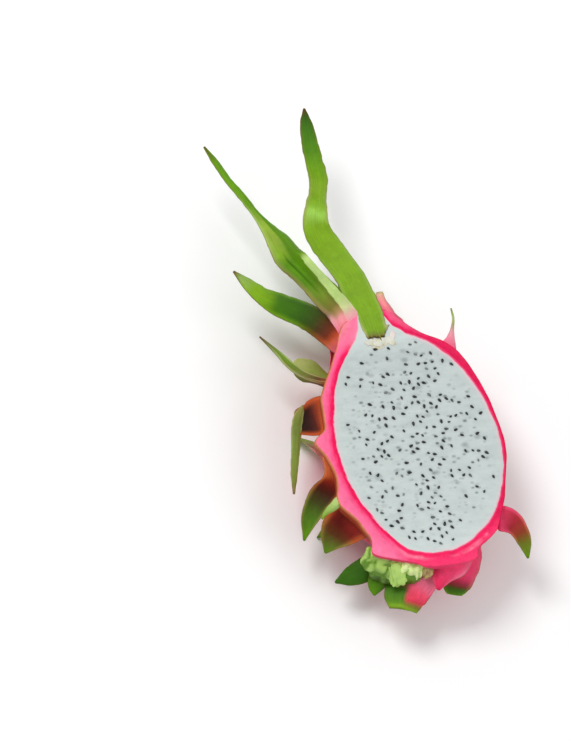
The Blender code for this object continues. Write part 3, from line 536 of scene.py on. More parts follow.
def make_flesh(places, material):
    """The cut flesh with small hollows where the seeds sit, closed below as in the CAD."""
    rays, steps = 420, 96
    shares = np.linspace(0, 1, steps)[1:]
    angles = np.arange(rays) * 2 * math.pi / rays
    x = FLESH_HALF_WIDTH * np.outer(shares, np.cos(angles))
    y = FLESH_HALF_LENGTH * np.outer(shares, np.sin(angles))
    near = np.zeros_like(x)
    for seed_x, seed_y, _, size in places:
        near += np.exp(-((x - seed_x) ** 2 + (y - seed_y) ** 2) / (1.15 * size) ** 2)
    near = np.clip(near, 0, 1)
    rim = np.clip((1 - shares) / 0.03, 0, 1)[:, None]
    z = CUT_HEIGHT + rim * (0.09 * unevenness(x / 4, y / 9, 1.0) - 0.10 * near)
    top = np.stack([x, y, z], axis=-1).reshape(-1, 3)
    sinks = np.linspace(0, 0.5 * math.pi, 14)
    below_x = FLESH_HALF_WIDTH * np.outer(np.cos(sinks), np.cos(angles))
    below_y = FLESH_HALF_LENGTH * np.outer(np.cos(sinks), np.sin(angles))
    below_z = CUT_HEIGHT - FLESH_HALF_WIDTH * DEPTH_SHARE * np.outer(np.sin(sinks), np.ones(rays))
    below = np.stack([below_x, below_y, below_z], axis=-1).reshape(-1, 3)
    points = np.vstack([[[0, 0, CUT_HEIGHT]], top, below])
    faces = [tuple(q) for q in grid_faces(len(shares), rays, closed=True) + 1]
    faces += [tuple(q)[::-1] for q in grid_faces(len(sinks), rays, closed=True) + 1 + len(top)]
    faces += [(0, 1 + j, 1 + (j + 1) % rays) for j in range(rays)]
    attributes = {
        "from_rim": np.concatenate([[30.0], np.repeat((1 - shares) * 45, rays), np.zeros(len(below))]),
        "near_seed": np.concatenate([[0.0], near.ravel(), np.zeros(len(below))]),
        "past_white": past_white(points[:, 0], points[:, 1]),
        "along": 0.5 + 0.5 * points[:, 1] / FLESH_HALF_LENGTH,
    }
    flesh = mesh_object("flesh", points, faces, attributes, [material])
    outward(flesh)
    return flesh


def make_seeds(places, material):
    """The black seeds: drops lying in the cut flesh, a few of them sunk deeper than the rest."""
    draw = random.Random(5)
    rings, columns = 9, 12
    vertices, faces, tone = [], [], []
    for x, y, turn, size in places:
        sunk = draw.random() < 0.24
        height = SEED_RISE * (0.35 if sunk else draw.uniform(0.75, 1.0))
        length, width = size * SEED_LENGTH / 2, size * SEED_WIDTH / 2
        first = len(vertices)
        for i in range(rings):
            u = -math.cos(math.pi * (i + 0.5) / rings)
            round_off = math.sqrt(1 - u * u) * (1.05 - 0.30 * u - 0.12 * u * u)
            for j in range(columns):
                angle = 2 * math.pi * j / columns
                side = width * round_off * math.cos(angle)
                lift = height * round_off * math.sin(angle) * (1.0 if math.sin(angle) > 0 else 1.5)
                a = x + u * length * math.cos(turn) - side * math.sin(turn)
                b = y + u * length * math.sin(turn) + side * math.cos(turn)
                vertices.append((a, b, CUT_HEIGHT - 0.04 + lift))
        faces += [tuple(q) for q in grid_faces(rings, columns, closed=True) + first]
        faces.append(tuple(range(first, first + columns))[::-1])
        faces.append(tuple(range(first + (rings - 1) * columns, first + rings * columns)))
        tone += [draw.uniform(0.4, 1.0) if sunk else draw.uniform(0, 0.45)] * (rings * columns)
    seeds = mesh_object("seeds", vertices, faces, {"tone": tone}, [material])
    outward(seeds)
    return seeds


# Colours of the fruit, in linear light
# The left side's brick red, darkened partly as painted shade
LEFT_SKIN = (0.40, 0.055, 0.018)
LEFT_SKIN_RIM = (0.60, 0.20, 0.07)
CRIMSON = (0.76, 0.018, 0.095)
HOT_PINK = (0.90, 0.050, 0.160)
ROSE = (0.93, 0.180, 0.300)
PALE_ROSE = (0.90, 0.400, 0.450)
BRICK = (0.42, 0.062, 0.013)
UMBER = (0.11, 0.045, 0.010)
STRAW = (0.46, 0.42, 0.18)
OLIVE = (0.17, 0.21, 0.030)
LEAF = (0.200, 0.378, 0.011)
LEAF_MID = (0.13, 0.31, 0.004)
LEAF_DARK = (0.100, 0.250, 0.001)
LEAF_DEEP = (0.036, 0.130, 0.002)
LEAF_PALE = (0.445, 0.610, 0.190)
WHITE_FLESH = (0.545, 0.610, 0.595)

# How each visible blade looks. Places across it run from -1 at its left edge to 1 at its right one.
# middle, wing, margin, right, pared: colours by share of its length, down its middle, left of it, along
# both edges, along the right edge, and on top where the knife pared it flat
# wave: how strongly its edges wave, in millimetres; columns: how many points its top has across
# ridge: the place across it, the height and the share of the length where it ends
# crease: the place across it, the depth and the shares of the length where it starts and ends; its line is
# darkened as painted shade
# end: how far its torn end reaches down past its first row, by place across it
# spur: how far a tooth near that end sticks out to the right
BEHIND_LOOK = {"middle": [(0, HOT_PINK), (0.15, ROSE), (0.4, LEAF), (1, LEAF_DARK)], "wave": 0.3}
LOOKS = {
    "centre_bract": {
        # The paler green near 0.575 of the length, down the middle and along the margins, is a painted
        # highlight on the bend
        "middle": [
            (0, (0.07, 0.03, 0.007)), (0.005, (0.2, 0.12, 0.02)), (0.014, OLIVE), (0.04, LEAF),
            (0.53, LEAF), (0.575, (0.34, 0.62, 0.085)), (0.61, (0.24, 0.46, 0.02)), (0.64, LEAF),
            (0.69, (0.22, 0.4, 0.014)), (0.75, (0.16, 0.34, 0.004)), (0.8, (0.12, 0.295, 0.002)),
            (0.84, (0.08, 0.235, 0.001)), (0.9, (0.05, 0.175, 0.001)), (0.96, (0.03, 0.11, 0.002)),
            (1, UMBER),
        ],
        "margin": [
            (0, UMBER), (0.02, STRAW), (0.12, (0.26, 0.42, 0.06)), (0.5, LEAF),
            (0.58, (0.34, 0.42, 0.09)), (0.72, (0.22, 0.32, 0.03)), (0.84, (0.13, 0.24, 0.008)),
            (0.92, (0.11, 0.13, 0.008)), (1, UMBER),
        ],
        "end": [
            (-1, -3.0), (-0.93, -0.8), (-0.8, 0.4), (-0.64, -0.5), (-0.5, 0.5), (-0.28, -0.2),
            (-0.05, 0.7), (0.12, 0.4), (0.2, 2.8), (0.28, 0.2), (0.45, 0.7), (0.6, 1.0), (0.7, -0.9),
            (0.82, -1.0), (0.9, -3.0), (1, -3.8),
        ],
        "spur": 2.0,
        "columns": 61,
        "wave": 0.3,
    },
    "left_bract": {
        "middle": [
            (0, ROSE), (0.062, (0.88, 0.3, 0.34)), (0.078, (0.3, 0.2, 0.06)), (0.1, (0.2, 0.2, 0.04)),
            (0.3, LEAF_DARK), (0.6, LEAF_DARK), (0.8, LEAF_MID), (0.97, LEAF_DARK), (1, UMBER),
        ],
        "margin": [
            (0, ROSE), (0.07, PALE_ROSE), (0.11, (0.34, 0.22, 0.12)), (0.2, (0.3, 0.3, 0.06)),
            (0.36, OLIVE), (0.5, (0.33, 0.47, 0.09)), (0.65, (0.36, 0.52, 0.12)), (0.8, LEAF_MID),
            (1, LEAF_DARK),
        ],
        "right": [
            (0, ROSE), (0.06, PALE_ROSE), (0.11, LEAF_PALE), (0.3, LEAF_PALE), (0.36, (0.3, 0.3, 0.05)),
            (0.5, (0.16, 0.3, 0.01)), (0.8, LEAF_MID), (1, LEAF_DARK),
        ],
        "wing": [
            (0, ROSE), (0.055, (0.88, 0.32, 0.34)), (0.085, (0.36, 0.22, 0.08)),
            (0.12, (0.18, 0.16, 0.02)), (0.18, (0.16, 0.24, 0.014)), (0.26, (0.09, 0.24, 0.001)),
            (0.39, (0.09, 0.25, 0.001)), (0.435, (0.2, 0.38, 0.012)), (0.5, (0.26, 0.4, 0.035)),
            (0.6, (0.26, 0.4, 0.035)), (0.72, LEAF_MID), (0.9, LEAF_MID), (1, UMBER),
        ],
        "pared": [
            (0, (0.9, 0.24, 0.36)), (0.02, (0.9, 0.27, 0.37)), (0.05, (0.86, 0.42, 0.42)),
            (0.08, (0.56, 0.6, 0.28)), (0.13, LEAF_PALE), (0.35, LEAF_PALE), (0.375, (0.17, 0.31, 0.012)),
        ],
        "ridge": (0.6, 6.5, 0.43),
        "crease": (-0.27, 1.0, 0.16, 0.46),
        "columns": 61,
        "wave": 0.3,
    },
    "low_bract": {
        # The paler green near 0.93 of the length is a painted highlight near the tip
        "middle": [
            (0, ROSE), (0.1, (0.62, 0.12, 0.06)), (0.13, BRICK), (0.17, (0.16, 0.022, 0.004)),
            (0.22, (0.08, 0.02, 0.003)), (0.31, (0.035, 0.055, 0.002)), (0.42, (0.03, 0.1, 0.001)),
            (0.59, (0.05, 0.17, 0.001)), (0.67, (0.16, 0.33, 0.006)), (0.82, LEAF),
            (0.93, (0.3, 0.46, 0.1)), (1, UMBER),
        ],
        "margin": [
            (0, ROSE), (0.12, (0.55, 0.14, 0.05)), (0.18, (0.34, 0.06, 0.012)),
            (0.27, (0.15, 0.09, 0.008)), (0.45, LEAF_DARK), (0.9, LEAF), (1, UMBER),
        ],
        "wave": 0.4,
    },
    "back_left_bract": BEHIND_LOOK,
    "back_centre_bract": BEHIND_LOOK,
    "top_strip": {
        "middle": [
            (0, CRIMSON), (0.4, (0.86, 0.09, 0.19)), (0.8, (0.84, 0.24, 0.28)), (0.95, (0.7, 0.42, 0.25)),
            (1, STRAW),
        ],
        "right": [
            (0, CRIMSON), (0.2, (0.6, 0.22, 0.16)), (0.4, (0.38, 0.24, 0.1)), (0.8, (0.36, 0.3, 0.12)),
            (1, LEAF),
        ],
        "wave": 0.1,
    },
    "top_horn": {
        "middle": [
            (0, HOT_PINK), (0.25, ROSE), (0.5, PALE_ROSE), (0.65, STRAW), (0.8, LEAF_PALE), (1, LEAF),
        ],
        "wave": 0.0,
    },
    "base_horn": {
        "middle": [
            (0, HOT_PINK), (0.2, (0.62, 0.03, 0.08)), (0.4, (0.42, 0.018, 0.03)),
            (0.65, (0.28, 0.05, 0.015)), (0.8, (0.15, 0.17, 0.01)), (1, LEAF_DARK),
        ],
        "margin": [
            (0, HOT_PINK), (0.35, (0.88, 0.07, 0.17)), (0.6, (0.6, 0.14, 0.07)), (0.8, OLIVE),
            (1, LEAF_DARK),
        ],
        "wave": 0.15,
    },
    "upper_left": {
        "middle": [(0, BRICK), (0.2, UMBER), (0.4, OLIVE), (0.8, LEAF), (1, UMBER)],
        "margin": [(0, BRICK), (0.25, STRAW), (0.7, LEAF_PALE), (1, UMBER)],
        "wave": 0.2,
    },
    "upper_lobe": {
        "middle": [
            (0, OLIVE), (0.4, (0.24, 0.3, 0.045)), (0.7, (0.37, 0.42, 0.12)), (1, (0.42, 0.45, 0.14)),
        ],
        "wave": 0.1,
    },
    "middle_left": {
        # Its near-black inside, from 0.27 to 0.86 of the length, is partly its own dark red-brown and
        # partly painted shade of the hollow under the scale
        "middle": [
            (0, (0.6, 0.1, 0.02)), (0.16, (0.5, 0.07, 0.012)), (0.27, (0.1, 0.008, 0.003)),
            (0.42, (0.02, 0.003, 0.001)), (0.72, (0.03, 0.006, 0.002)), (0.86, UMBER), (1, OLIVE),
        ],
        "margin": [
            (0, (0.62, 0.12, 0.03)), (0.4, (0.52, 0.075, 0.014)), (0.65, (0.36, 0.1, 0.03)),
            (0.8, (0.36, 0.3, 0.1)), (1, STRAW),
        ],
        "wave": 0.35,
    },
    "middle_tail": {
        "middle": [
            (0, (0.32, 0.25, 0.07)), (0.3, OLIVE), (0.6, (0.2, 0.27, 0.04)), (0.92, OLIVE),
            (1, (0.3, 0.17, 0.06)),
        ],
        "margin": [(0, STRAW), (0.6, (0.34, 0.38, 0.12)), (0.9, (0.3, 0.28, 0.08)), (1, UMBER)],
        "wave": 0.15,
    },
    "lower_left": {
        # Its dark red to near-black stretch, from 0.43 to 0.72 of the length, is partly its own colour and
        # partly painted shade under the scale
        "middle": [
            (0, (0.58, 0.12, 0.03)), (0.36, (0.52, 0.1, 0.024)), (0.43, (0.28, 0.02, 0.006)),
            (0.52, (0.12, 0.009, 0.004)), (0.6, (0.06, 0.015, 0.004)), (0.72, (0.05, 0.06, 0.004)),
            (0.82, (0.07, 0.16, 0.003)), (1, LEAF_DARK),
        ],
        "margin": [
            (0, (0.64, 0.18, 0.06)), (0.34, (0.6, 0.17, 0.05)), (0.58, (0.44, 0.13, 0.03)),
            (0.72, (0.24, 0.24, 0.04)), (1, OLIVE),
        ],
        "wave": 0.3,
    },
    "base_left": {
        "middle": [
            (0, (0.42, 0.02, 0.008)), (0.2, (0.3, 0.01, 0.004)), (0.5, (0.17, 0.008, 0.003)),
            (0.7, (0.12, 0.04, 0.006)), (0.85, (0.1, 0.13, 0.006)), (1, LEAF_DARK),
        ],
        "margin": [(0, BRICK), (0.5, (0.5, 0.09, 0.02)), (0.75, (0.28, 0.2, 0.04)), (1, OLIVE)],
        "wave": 0.3,
    },
    "cut_edge": {"middle": [(0, PALE_ROSE), (0.3, LEAF_PALE), (1, LEAF)], "wave": 0.1},
    "base_tongue": {
        "middle": [(0, HOT_PINK), (0.6, HOT_PINK), (1, CRIMSON)],
        "margin": [(0, HOT_PINK), (0.5, ROSE), (1, HOT_PINK)],
        "wave": 0.15,
    },
    "base_right": {
        "middle": [
            (0, HOT_PINK), (0.46, HOT_PINK), (0.56, (0.42, 0.02, 0.06)), (0.66, (0.14, 0.05, 0.01)),
            (0.72, LEAF_DEEP), (1, LEAF_DARK),
        ],
        "margin": [
            (0, HOT_PINK), (0.5, (0.7, 0.1, 0.15)), (0.7, (0.16, 0.16, 0.01)), (0.8, LEAF_DARK),
            (1, LEAF),
        ],
        "wave": 0.2,
    },
    "stem_scale": {
        "middle": [
            (0, HOT_PINK), (0.2, PALE_ROSE), (0.4, (0.45, 0.06, 0.05)), (0.5, LEAF_DEEP),
            (0.8, (0.1, 0.24, 0.008)), (0.92, LEAF), (1, (0.13, 0.2, 0.01)),
        ],
        "wing": [
            (0, PALE_ROSE), (0.25, ROSE), (0.5, (0.86, 0.06, 0.13)), (0.7, (0.66, 0.035, 0.07)),
            (0.82, (0.2, 0.16, 0.02)), (1, LEAF),
        ],
        "wave": 0.3,
    },
    "small_base": {"middle": [(0, LEAF_DEEP), (1, LEAF_DARK)], "wave": 0.2},
    "low_base": {"middle": [(0, (0.06, 0.03, 0.005)), (0.4, LEAF_DEEP), (1, LEAF_DEEP)], "wave": 0.2},
}
BACK_LOOK = {
    "middle": [
        (0, HOT_PINK), (0.35, HOT_PINK), (0.52, ROSE), (0.66, STRAW), (0.82, LEAF), (1, LEAF_DARK),
    ],
    "margin": [(0, HOT_PINK), (0.4, ROSE), (0.6, STRAW), (0.8, LEAF), (1, LEAF_DARK)],
    "wave": 0.35,
}


def colours_at(stops, share):
    """The colours at shares of a blade's length."""
    places = [place for place, _ in stops]
    channels = [np.interp(share, places, [colour[n] for _, colour in stops]) for n in range(3)]
    return np.stack(channels, axis=-1)


def blade_tint(look, share, side):
    """A blade's colour at points, by the share of its length and the place across it."""
    tint = colours_at(look["middle"], share)
    if "wing" in look:
        tint = blend(tint, colours_at(look["wing"], share), smooth((-side + 0.12) / 0.2))
    for key, way in (("margin", np.abs(side)), ("right", side)):
        if key in look:
            tint = blend(tint, colours_at(look[key], share), smooth((way - 0.62) / 0.34))
    # Painted shade: a dark line along the crease
    if "crease" in look:
        place, _, start, end = look["crease"]
        line = np.exp(-(((side - place) / 0.045) ** 2))
        line = line * smooth((share - start) / 0.2) * smooth((end - share) / 0.06)
        tint = tint * (1 - 0.55 * line)[:, None]
    return tint


def blade_rings(centres, normals, half_widths, thicknesses, cups, look, number):
    """The cross sections of a blade: over its top from side to side and back underneath."""
    rows = len(centres)
    tangents = unit(np.gradient(centres, axis=0))
    normals = unit(normals - (normals * tangents).sum(axis=1, keepdims=True) * tangents)
    sides = np.cross(tangents, normals)
    columns = look.get("columns", BLADE_SIDE_STEPS)
    across = np.sin(np.linspace(-0.5 * math.pi, 0.5 * math.pi, columns))
    keel = -0.12 * np.exp(-((across / 0.12) ** 2))
    ridge_place, ridge_height, ridge_end = look.get("ridge", (0.0, 0.0, 1.0))
    ridge_shape = np.exp(-(((across - ridge_place) / 0.5) ** 4))
    crease_place, crease_depth, crease_start, crease_end = look.get("crease", (0.0, 0.0, 0.0, 1.0))
    crease_shape = np.exp(-(((across - crease_place) / 0.09) ** 2))
    spur_shape = look.get("spur", 0.0) * np.clip(across, 0, 1) ** 3
    end_shape = np.interp(across, *np.array(look["end"]).T) if "end" in look else np.zeros(columns)
    length = np.concatenate([[0], np.cumsum(np.linalg.norm(np.diff(centres, axis=0), axis=1))])
    rings = np.empty((rows, 2 * columns, 3))
    for i in range(rows):
        share = i / (rows - 1)
        edge_thickness = min(0.35, thicknesses[i])
        thickness = edge_thickness + (thicknesses[i] - edge_thickness) * (1 - across**2)
        ripple = look["wave"] * math.sin(math.pi * share) * np.abs(across) ** 3
        ripple = ripple * np.sin(share * 17 + number * 2.1 + 1.3 * np.sign(across))
        ribs = 0.03 * np.cos(across * 9 * math.pi) * min(1.0, half_widths[i] / 3)
        ridge = ridge_shape * ridge_height * (1 - smooth((share - ridge_end + 0.10) / 0.25))
        creased = crease_depth * smooth((share - crease_start) / 0.08) * smooth((crease_end - share) / 0.1)
        bend = cups[i] * half_widths[i] * across**2 - ripple + creased * crease_shape
        upper = 0.5 * thickness - bend + ribs + keel + ridge
        lower = -0.5 * thickness - bend - ribs
        jag = np.array([noise.noise(Vector((length[i] / 3, number, 5.0 * s))) for s in np.sign(across)])
        width = across * half_widths[i] + 0.35 * jag * across * min(1.0, half_widths[i] / 2)
        width = width + spur_shape * math.exp(-(((length[i] - 2.2) / 1.2) ** 2))
        along = np.outer(-end_shape * max(0.0, 1 - length[i] / 5), tangents[i])
        middle = centres[i] + np.outer(width, sides[i]) + along
        rings[i, :columns] = middle + np.outer(upper, normals[i])
        rings[i, columns:] = (middle + np.outer(lower, normals[i]))[::-1]
    lowest = rings[..., 2].min(axis=1)
    rings[..., 2] += np.maximum(FLOOR_CLEARANCE - lowest, 0)[:, None]
    return rings, np.concatenate([across, across[::-1]])


def pare(rings):
    """Brings what is above the knife's plane down to it, and tells which points were above."""
    half = rings.shape[1] // 2
    upper, lower = rings[:, :half], rings[:, half:][:, ::-1]
    above = np.zeros(rings.shape[:2])
    above[:, :half] = upper[..., 2] > KNIFE_LEVEL
    upper[..., 2] = np.minimum(upper[..., 2], KNIFE_LEVEL)
    lower[..., 2] = np.minimum(lower[..., 2], upper[..., 2] - PARED_THICKNESS)
    return above.ravel()


def make_blade(name, rings, across, look, number, materials, cut=True):
    """A blade's mesh, cut off at the knife's plane if it reaches above it."""
    rows, columns = rings.shape[:2]
    share = np.repeat(np.linspace(0, 1, rows), columns)
    side = np.tile(across, rows)
    tint = blade_tint(look, share, side)
    if "pared" in look:
        tint = blend(tint, colours_at(look["pared"], share), pare(rings))
        cut = False
    attributes = {
        "tint": tint,
        "edge": np.abs(side),
        "streak_u": side * 2.0 + number * 3.7,
        "streak_v": share * 3.0,
    }
    faces = [tuple(q) for q in grid_faces(rows, columns, closed=True)]
    faces += [tuple(range(columns))[::-1], tuple(range((rows - 1) * columns, rows * columns))]
    blade = mesh_object(name, rings.reshape(-1, 3), faces, attributes, materials)
    outward(blade)
    if cut and rings[..., 2].max() > KNIFE_LEVEL:
        cut_at_knife(blade)
    return blade


def cut_at_knife(obj):
    """Removes what is above the knife's plane and closes the cut with the second material."""
    build = bmesh.new()
    build.from_mesh(obj.data)
    everything = build.verts[:] + build.edges[:] + build.faces[:]
    plane = {"plane_co": (0, 0, KNIFE_LEVEL * MM), "plane_no": (0, 0, 1)}
    bmesh.ops.bisect_plane(build, geom=everything, dist=1e-7, clear_outer=True, **plane)
    rim = [edge for edge in build.edges if edge.is_boundary]
    for edge in rim:
        edge.smooth = False
    for face in bmesh.ops.holes_fill(build, edges=rim, sides=0)["faces"]:
        face.material_index = 1
        face.smooth = False
    finish_mesh(build, obj)


def rim_blade(name, rows, cup, look, number, materials, cut=True):
    """One of the blades given by the points down its middle."""
    length = sum(math.dist(a[:3], b[:3]) for a, b in zip(rows, rows[1:]))
    line = smooth_line(rows, max(14, int(length / BLADE_ROW_SPACING)))
    centres = line[:, :3] + [0, 0, CUT_HEIGHT]
    tangents = unit(np.gradient(centres, axis=0))
    normals = []
    for tangent, roll in zip(tangents, line[:, 5]):
        level = unit(np.array([0, 0, 1.0]) - tangent[2] * tangent)
        normals.append(turned(level, tangent, roll))
    half_widths = np.maximum(line[:, 3], 0.35)
    thicknesses = np.maximum(line[:, 4], 0.5)
    cups = np.full(len(line), cup)
    shape = blade_rings(centres, np.array(normals), half_widths, thicknesses, cups, look, number)
    return make_blade(name, *shape, look, number, materials, cut)


def back_blade(number, scale, scales, materials):
    """One of the scales on the rounded back."""
    foot = skin_point(scale.around, scale.along, scales)
    above = skin_point(scale.around, scale.along + 1.5, [])
    below = skin_point(scale.around, scale.along - 1.5, [])
    up = unit(above - below)
    angle = math.radians(scale.around)
    out = np.array([math.cos(angle), 0.0, -math.sin(angle)])
    out = unit(out - np.dot(out, up) * up)
    side = np.cross(up, out)
    root = 0.22 * scale.length
    steps = np.linspace(-root, scale.length, 40)
    centres, normals = [], []
    point = foot - 1.2 * out - root * up
    for n, s in enumerate(steps):
        share = max(s, 0.0) / scale.length
        bend = (scale.curl - scale.rise) * share**0.8
        pitch = math.radians(scale.rise * min(1.0, (s + root) / root) + bend)
        lean = math.radians(scale.lean * (0.3 + share))
        forward = math.cos(lean) * up + math.sin(lean) * side
        if n:
            point = point + (math.cos(pitch) * forward + math.sin(pitch) * out) * (s - steps[n - 1])
        centres.append(point)
        normals.append(math.cos(pitch) * out - math.sin(pitch) * forward)
    share = np.clip(steps / scale.length, 0, 1)
    half_widths = scale.width / 2 * (1 - share**1.6) ** 0.9 * (0.8 + 0.2 * smooth(share * 5)) + 0.4
    thicknesses = 2.6 - 1.9 * share**0.6
    cups = BACK_CUP * (1 - 0.6 * share)
    sizes = (half_widths, thicknesses, cups)
    shape = blade_rings(np.array(centres), np.array(normals), *sizes, BACK_LOOK, number)
    return make_blade(f"back_scale_{number}", *shape, BACK_LOOK, number, materials)


def lump(material, name, centre, size, turn, boxy, roughness, seed, colours, tilt=0.0):
    """A rounded, uneven block in a dark and a light colour, lighter on top as painted light and darker in
    its furrows as painted shade, its centre given from the knife's plane.
    """
    middle = Vector(centre) + Vector((0, 0, CUT_HEIGHT))
    build = bmesh.new()
    bmesh.ops.create_icosphere(build, subdivisions=5, radius=1.0)
    directions = [vertex.co.copy() for vertex in build.verts]
    faces = [[vertex.index for vertex in face.verts] for face in build.faces]
    build.free()
    rotation = Matrix.Rotation(math.radians(turn), 3, "Z") @ Matrix.Rotation(math.radians(tilt), 3, "X")
    points, lit = [], []
    for d in directions:
        coarse = noise.noise(d * 1.3 + Vector((seed, 0, 0)))
        furrows = noise.noise(Vector((d.x * 4.5, d.y * 0.8, d.z * 1.5 + seed)))
        fine = noise.noise(d * 6 + Vector((0, seed, 0)))
        grow = 1 + roughness * (coarse + 0.45 * furrows + 0.15 * fine)
        block = Vector([math.copysign(abs(c) ** boxy, c) * side * grow for c, side in zip(d, size)])
        points.append(tuple(rotation @ block + middle))
        # Painted light on top and painted shade in the furrows
        lit.append(smooth(0.58 + 0.5 * d.z + 1.3 * furrows + 0.4 * fine))
    return mesh_object(name, points, faces, {"tint": blend(*colours, lit)}, [material])


def make_stem(material):
    """The torn end of the stem: a smooth green side, a pale flap, paler ridges and a dried callus."""
    mid, bright = (0.11, 0.25, 0.008), (0.38, 0.58, 0.12)
    flap, pale = (0.46, 0.7, 0.16), (0.74, 0.88, 0.38)
    deep, brown, dry = (0.05, 0.1, 0.004), (0.36, 0.2, 0.07), (0.55, 0.42, 0.18)
    lumps = [
        ("stem_left", (-29.3, -52.6, -9.5), (9.5, 5.5, 6), -38, 0.8, 0.2, 1, (mid, bright), -20),
        ("stem_flap", (-23.5, -59, -8), (4.2, 6.6, 2.4), 12, 0.7, 0.34, 4, (bright, flap), 35),
        ("stem_right", (-15.8, -55.8, -8), (6.4, 6.2, 5.2), -12, 0.75, 0.3, 9.5, (bright, pale), -10),
        ("stem_callus", (-8.3, -59.5, -8.5), (3.4, 3.8, 3.4), -20, 0.9, 0.35, 6, (brown, dry)),
        # The core's dark green shows through the gaps between the other lumps as dark splits: painted shade
        ("stem_core", (-21, -56.5, -13.5), (12, 6.8, 6.5), -10, 0.8, 0.2, 2, (deep, mid)),
    ]
    return [lump(material, *values) for values in lumps]


def make_navel(material):
    """Scraps of cream and straw-coloured flesh below the end of the centre bract."""
    cream, straw, rosy = (0.62, 0.63, 0.53), (0.56, 0.49, 0.27), (0.68, 0.60, 0.55)
    scraps = [
        ("navel_middle", (-6, 50.2, 0), (5, 2.4, 0.4), 8, 1, 0.45, 1, (straw, cream)),
        ("navel_right", (-0.8, 50.4, 0), (2.4, 1.8, 0.35), -25, 1, 0.5, 2, (straw, cream)),
        ("navel_left", (-10.5, 51.4, 0), (2.8, 1.5, 0.3), 15, 1, 0.4, 3, (rosy, cream)),
        ("navel_up", (0.8, 53.4, 0), (1.2, 2.4, 0.3), -20, 1, 0.4, 4, (cream, rosy)),
    ]
    return [lump(material, *values) for values in scraps]


# The layers of grey shadows of seeds deeper in the flesh: how fine, shifted how far, and how dark
DEEP_SEEDS = [(230, 0.0, 0.95), (150, 7.0, 0.55), (290, 3.0, 0.80)]


class Shader:
    """A material and the nodes that work out its colour. A value is a number, a colour or an output."""

    def __init__(self, name):
        self.material = bpy.data.materials.new(name)
        self.material.use_nodes = True
        self.tree = self.material.node_tree
        self.inputs = self.tree.nodes["Principled BSDF"].inputs

    def put(self, socket, value):
        """Gives an input its value."""
        if isinstance(value, bpy.types.NodeSocket):
            self.tree.links.new(value, socket)
        elif isinstance(value, tuple) and len(socket.default_value) == 4:
            socket.default_value = (*value, 1)
        else:
            socket.default_value = value

    def node(self, kind, output, inputs, **settings):
        """Adds a node with its settings and inputs, and returns one of its outputs."""
        made = self.tree.nodes.new("ShaderNode" + kind)
        for key, value in settings.items():
            setattr(made, key, value)
        for key, value in inputs.items():
            self.put(made.inputs[key], value)
        return made.outputs[output]

    def attribute(self, name, output="Fac"):
        return self.node("Attribute", output, {}, attribute_name=name)

    def maths(self, operation, first, second):
        return self.node("Math", 0, {0: first, 1: second}, operation=operation)

    def times(self, first, second):
        return self.maths("MULTIPLY", first, second)

    def mix(self, share, first, second, kind="MIX"):
        """Mixes two colours by a share."""
        return self.node("Mix", 2, {0: share, 6: first, 7: second}, data_type="RGBA", blend_type=kind)

    def ramp(self, value, stops):
        """Colours or grey values by a number from 0 to 1."""
        output = self.node("ValToRGB", "Color", {"Fac": value})
        elements = output.node.color_ramp.elements
        while len(elements) < len(stops):
            elements.new(0.5)
        for element, (place, colour) in zip(elements, stops):
            element.position = place
            element.color = (*colour, 1) if isinstance(colour, tuple) else (colour, colour, colour, 1)
        return output

    def shaded(self, colour, value, stops):
        """A colour made darker or lighter by a number from 0 to 1."""
        return self.mix(1.0, colour, self.ramp(value, stops), "MULTIPLY")

    def place(self, stretch=(1, 1, 1), shift=(0, 0, 0), turn=(0, 0, 0)):
        """The object's own coordinates, stretched, turned and shifted."""
        vector = self.node("TexCoord", "Object", {})
        inputs = {"Vector": vector, "Scale": stretch, "Location": shift, "Rotation": turn}
        return self.node("Mapping", "Vector", inputs)

    def streaks(self, across, along):
        """Coordinates that run across and along a blade."""
        u = self.times(self.attribute("streak_u"), across)
        v = self.times(self.attribute("streak_v"), along)
        return self.node("CombineXYZ", "Vector", {"X": u, "Y": v})

    def mottle(self, scale, detail=3.0, roughness=0.55, at=None):
        """Uneven grey, by the object's own coordinates unless others are given."""
        vector = self.place() if at is None else at
        inputs = {"Vector": vector, "Scale": scale, "Detail": detail, "Roughness": roughness}
        return self.node("TexNoise", "Fac", inputs)

    def past_white(self):
        """How far outside the white a point of the cut lies, in centimetres, with an uneven edge."""
        wander = self.times(self.maths("SUBTRACT", self.mottle(150, 4), 0.5), 1.5)
        return self.maths("DIVIDE", self.maths("ADD", self.attribute("past_white"), wander), 10.0)

    def painted_light_along(self, colour):
        """A colour made greyer along the fruit, most just below the crown and a little lighter at both
        ends: painted shade and light.
        """
        stops = [(0.03, 1.03), (0.16, 0.97), (0.5, 0.94), (0.8, 0.92), (0.90, 0.88), (0.98, 1.03)]
        return self.shaded(colour, self.attribute("along"), stops)

    def bumps(self, height, strength, distance=0.0004):
        inputs = {"Height": height, "Strength": strength, "Distance": distance}
        self.put(self.inputs["Normal"], self.node("Bump", "Normal", inputs))

    def finish(self, colour, roughness, specular=0.5, softness=0.0, spread=(1, 1, 1), depth=0.002):
        """Sets the surface and how light spreads below it, and returns the material."""
        values = {
            "Base Color": colour, "Roughness": roughness, "Specular IOR Level": specular,
            "Subsurface Weight": softness, "Subsurface Radius": spread, "Subsurface Scale": depth,
        }
        for key, value in values.items():
            self.put(self.inputs[key], value)
        return self.material


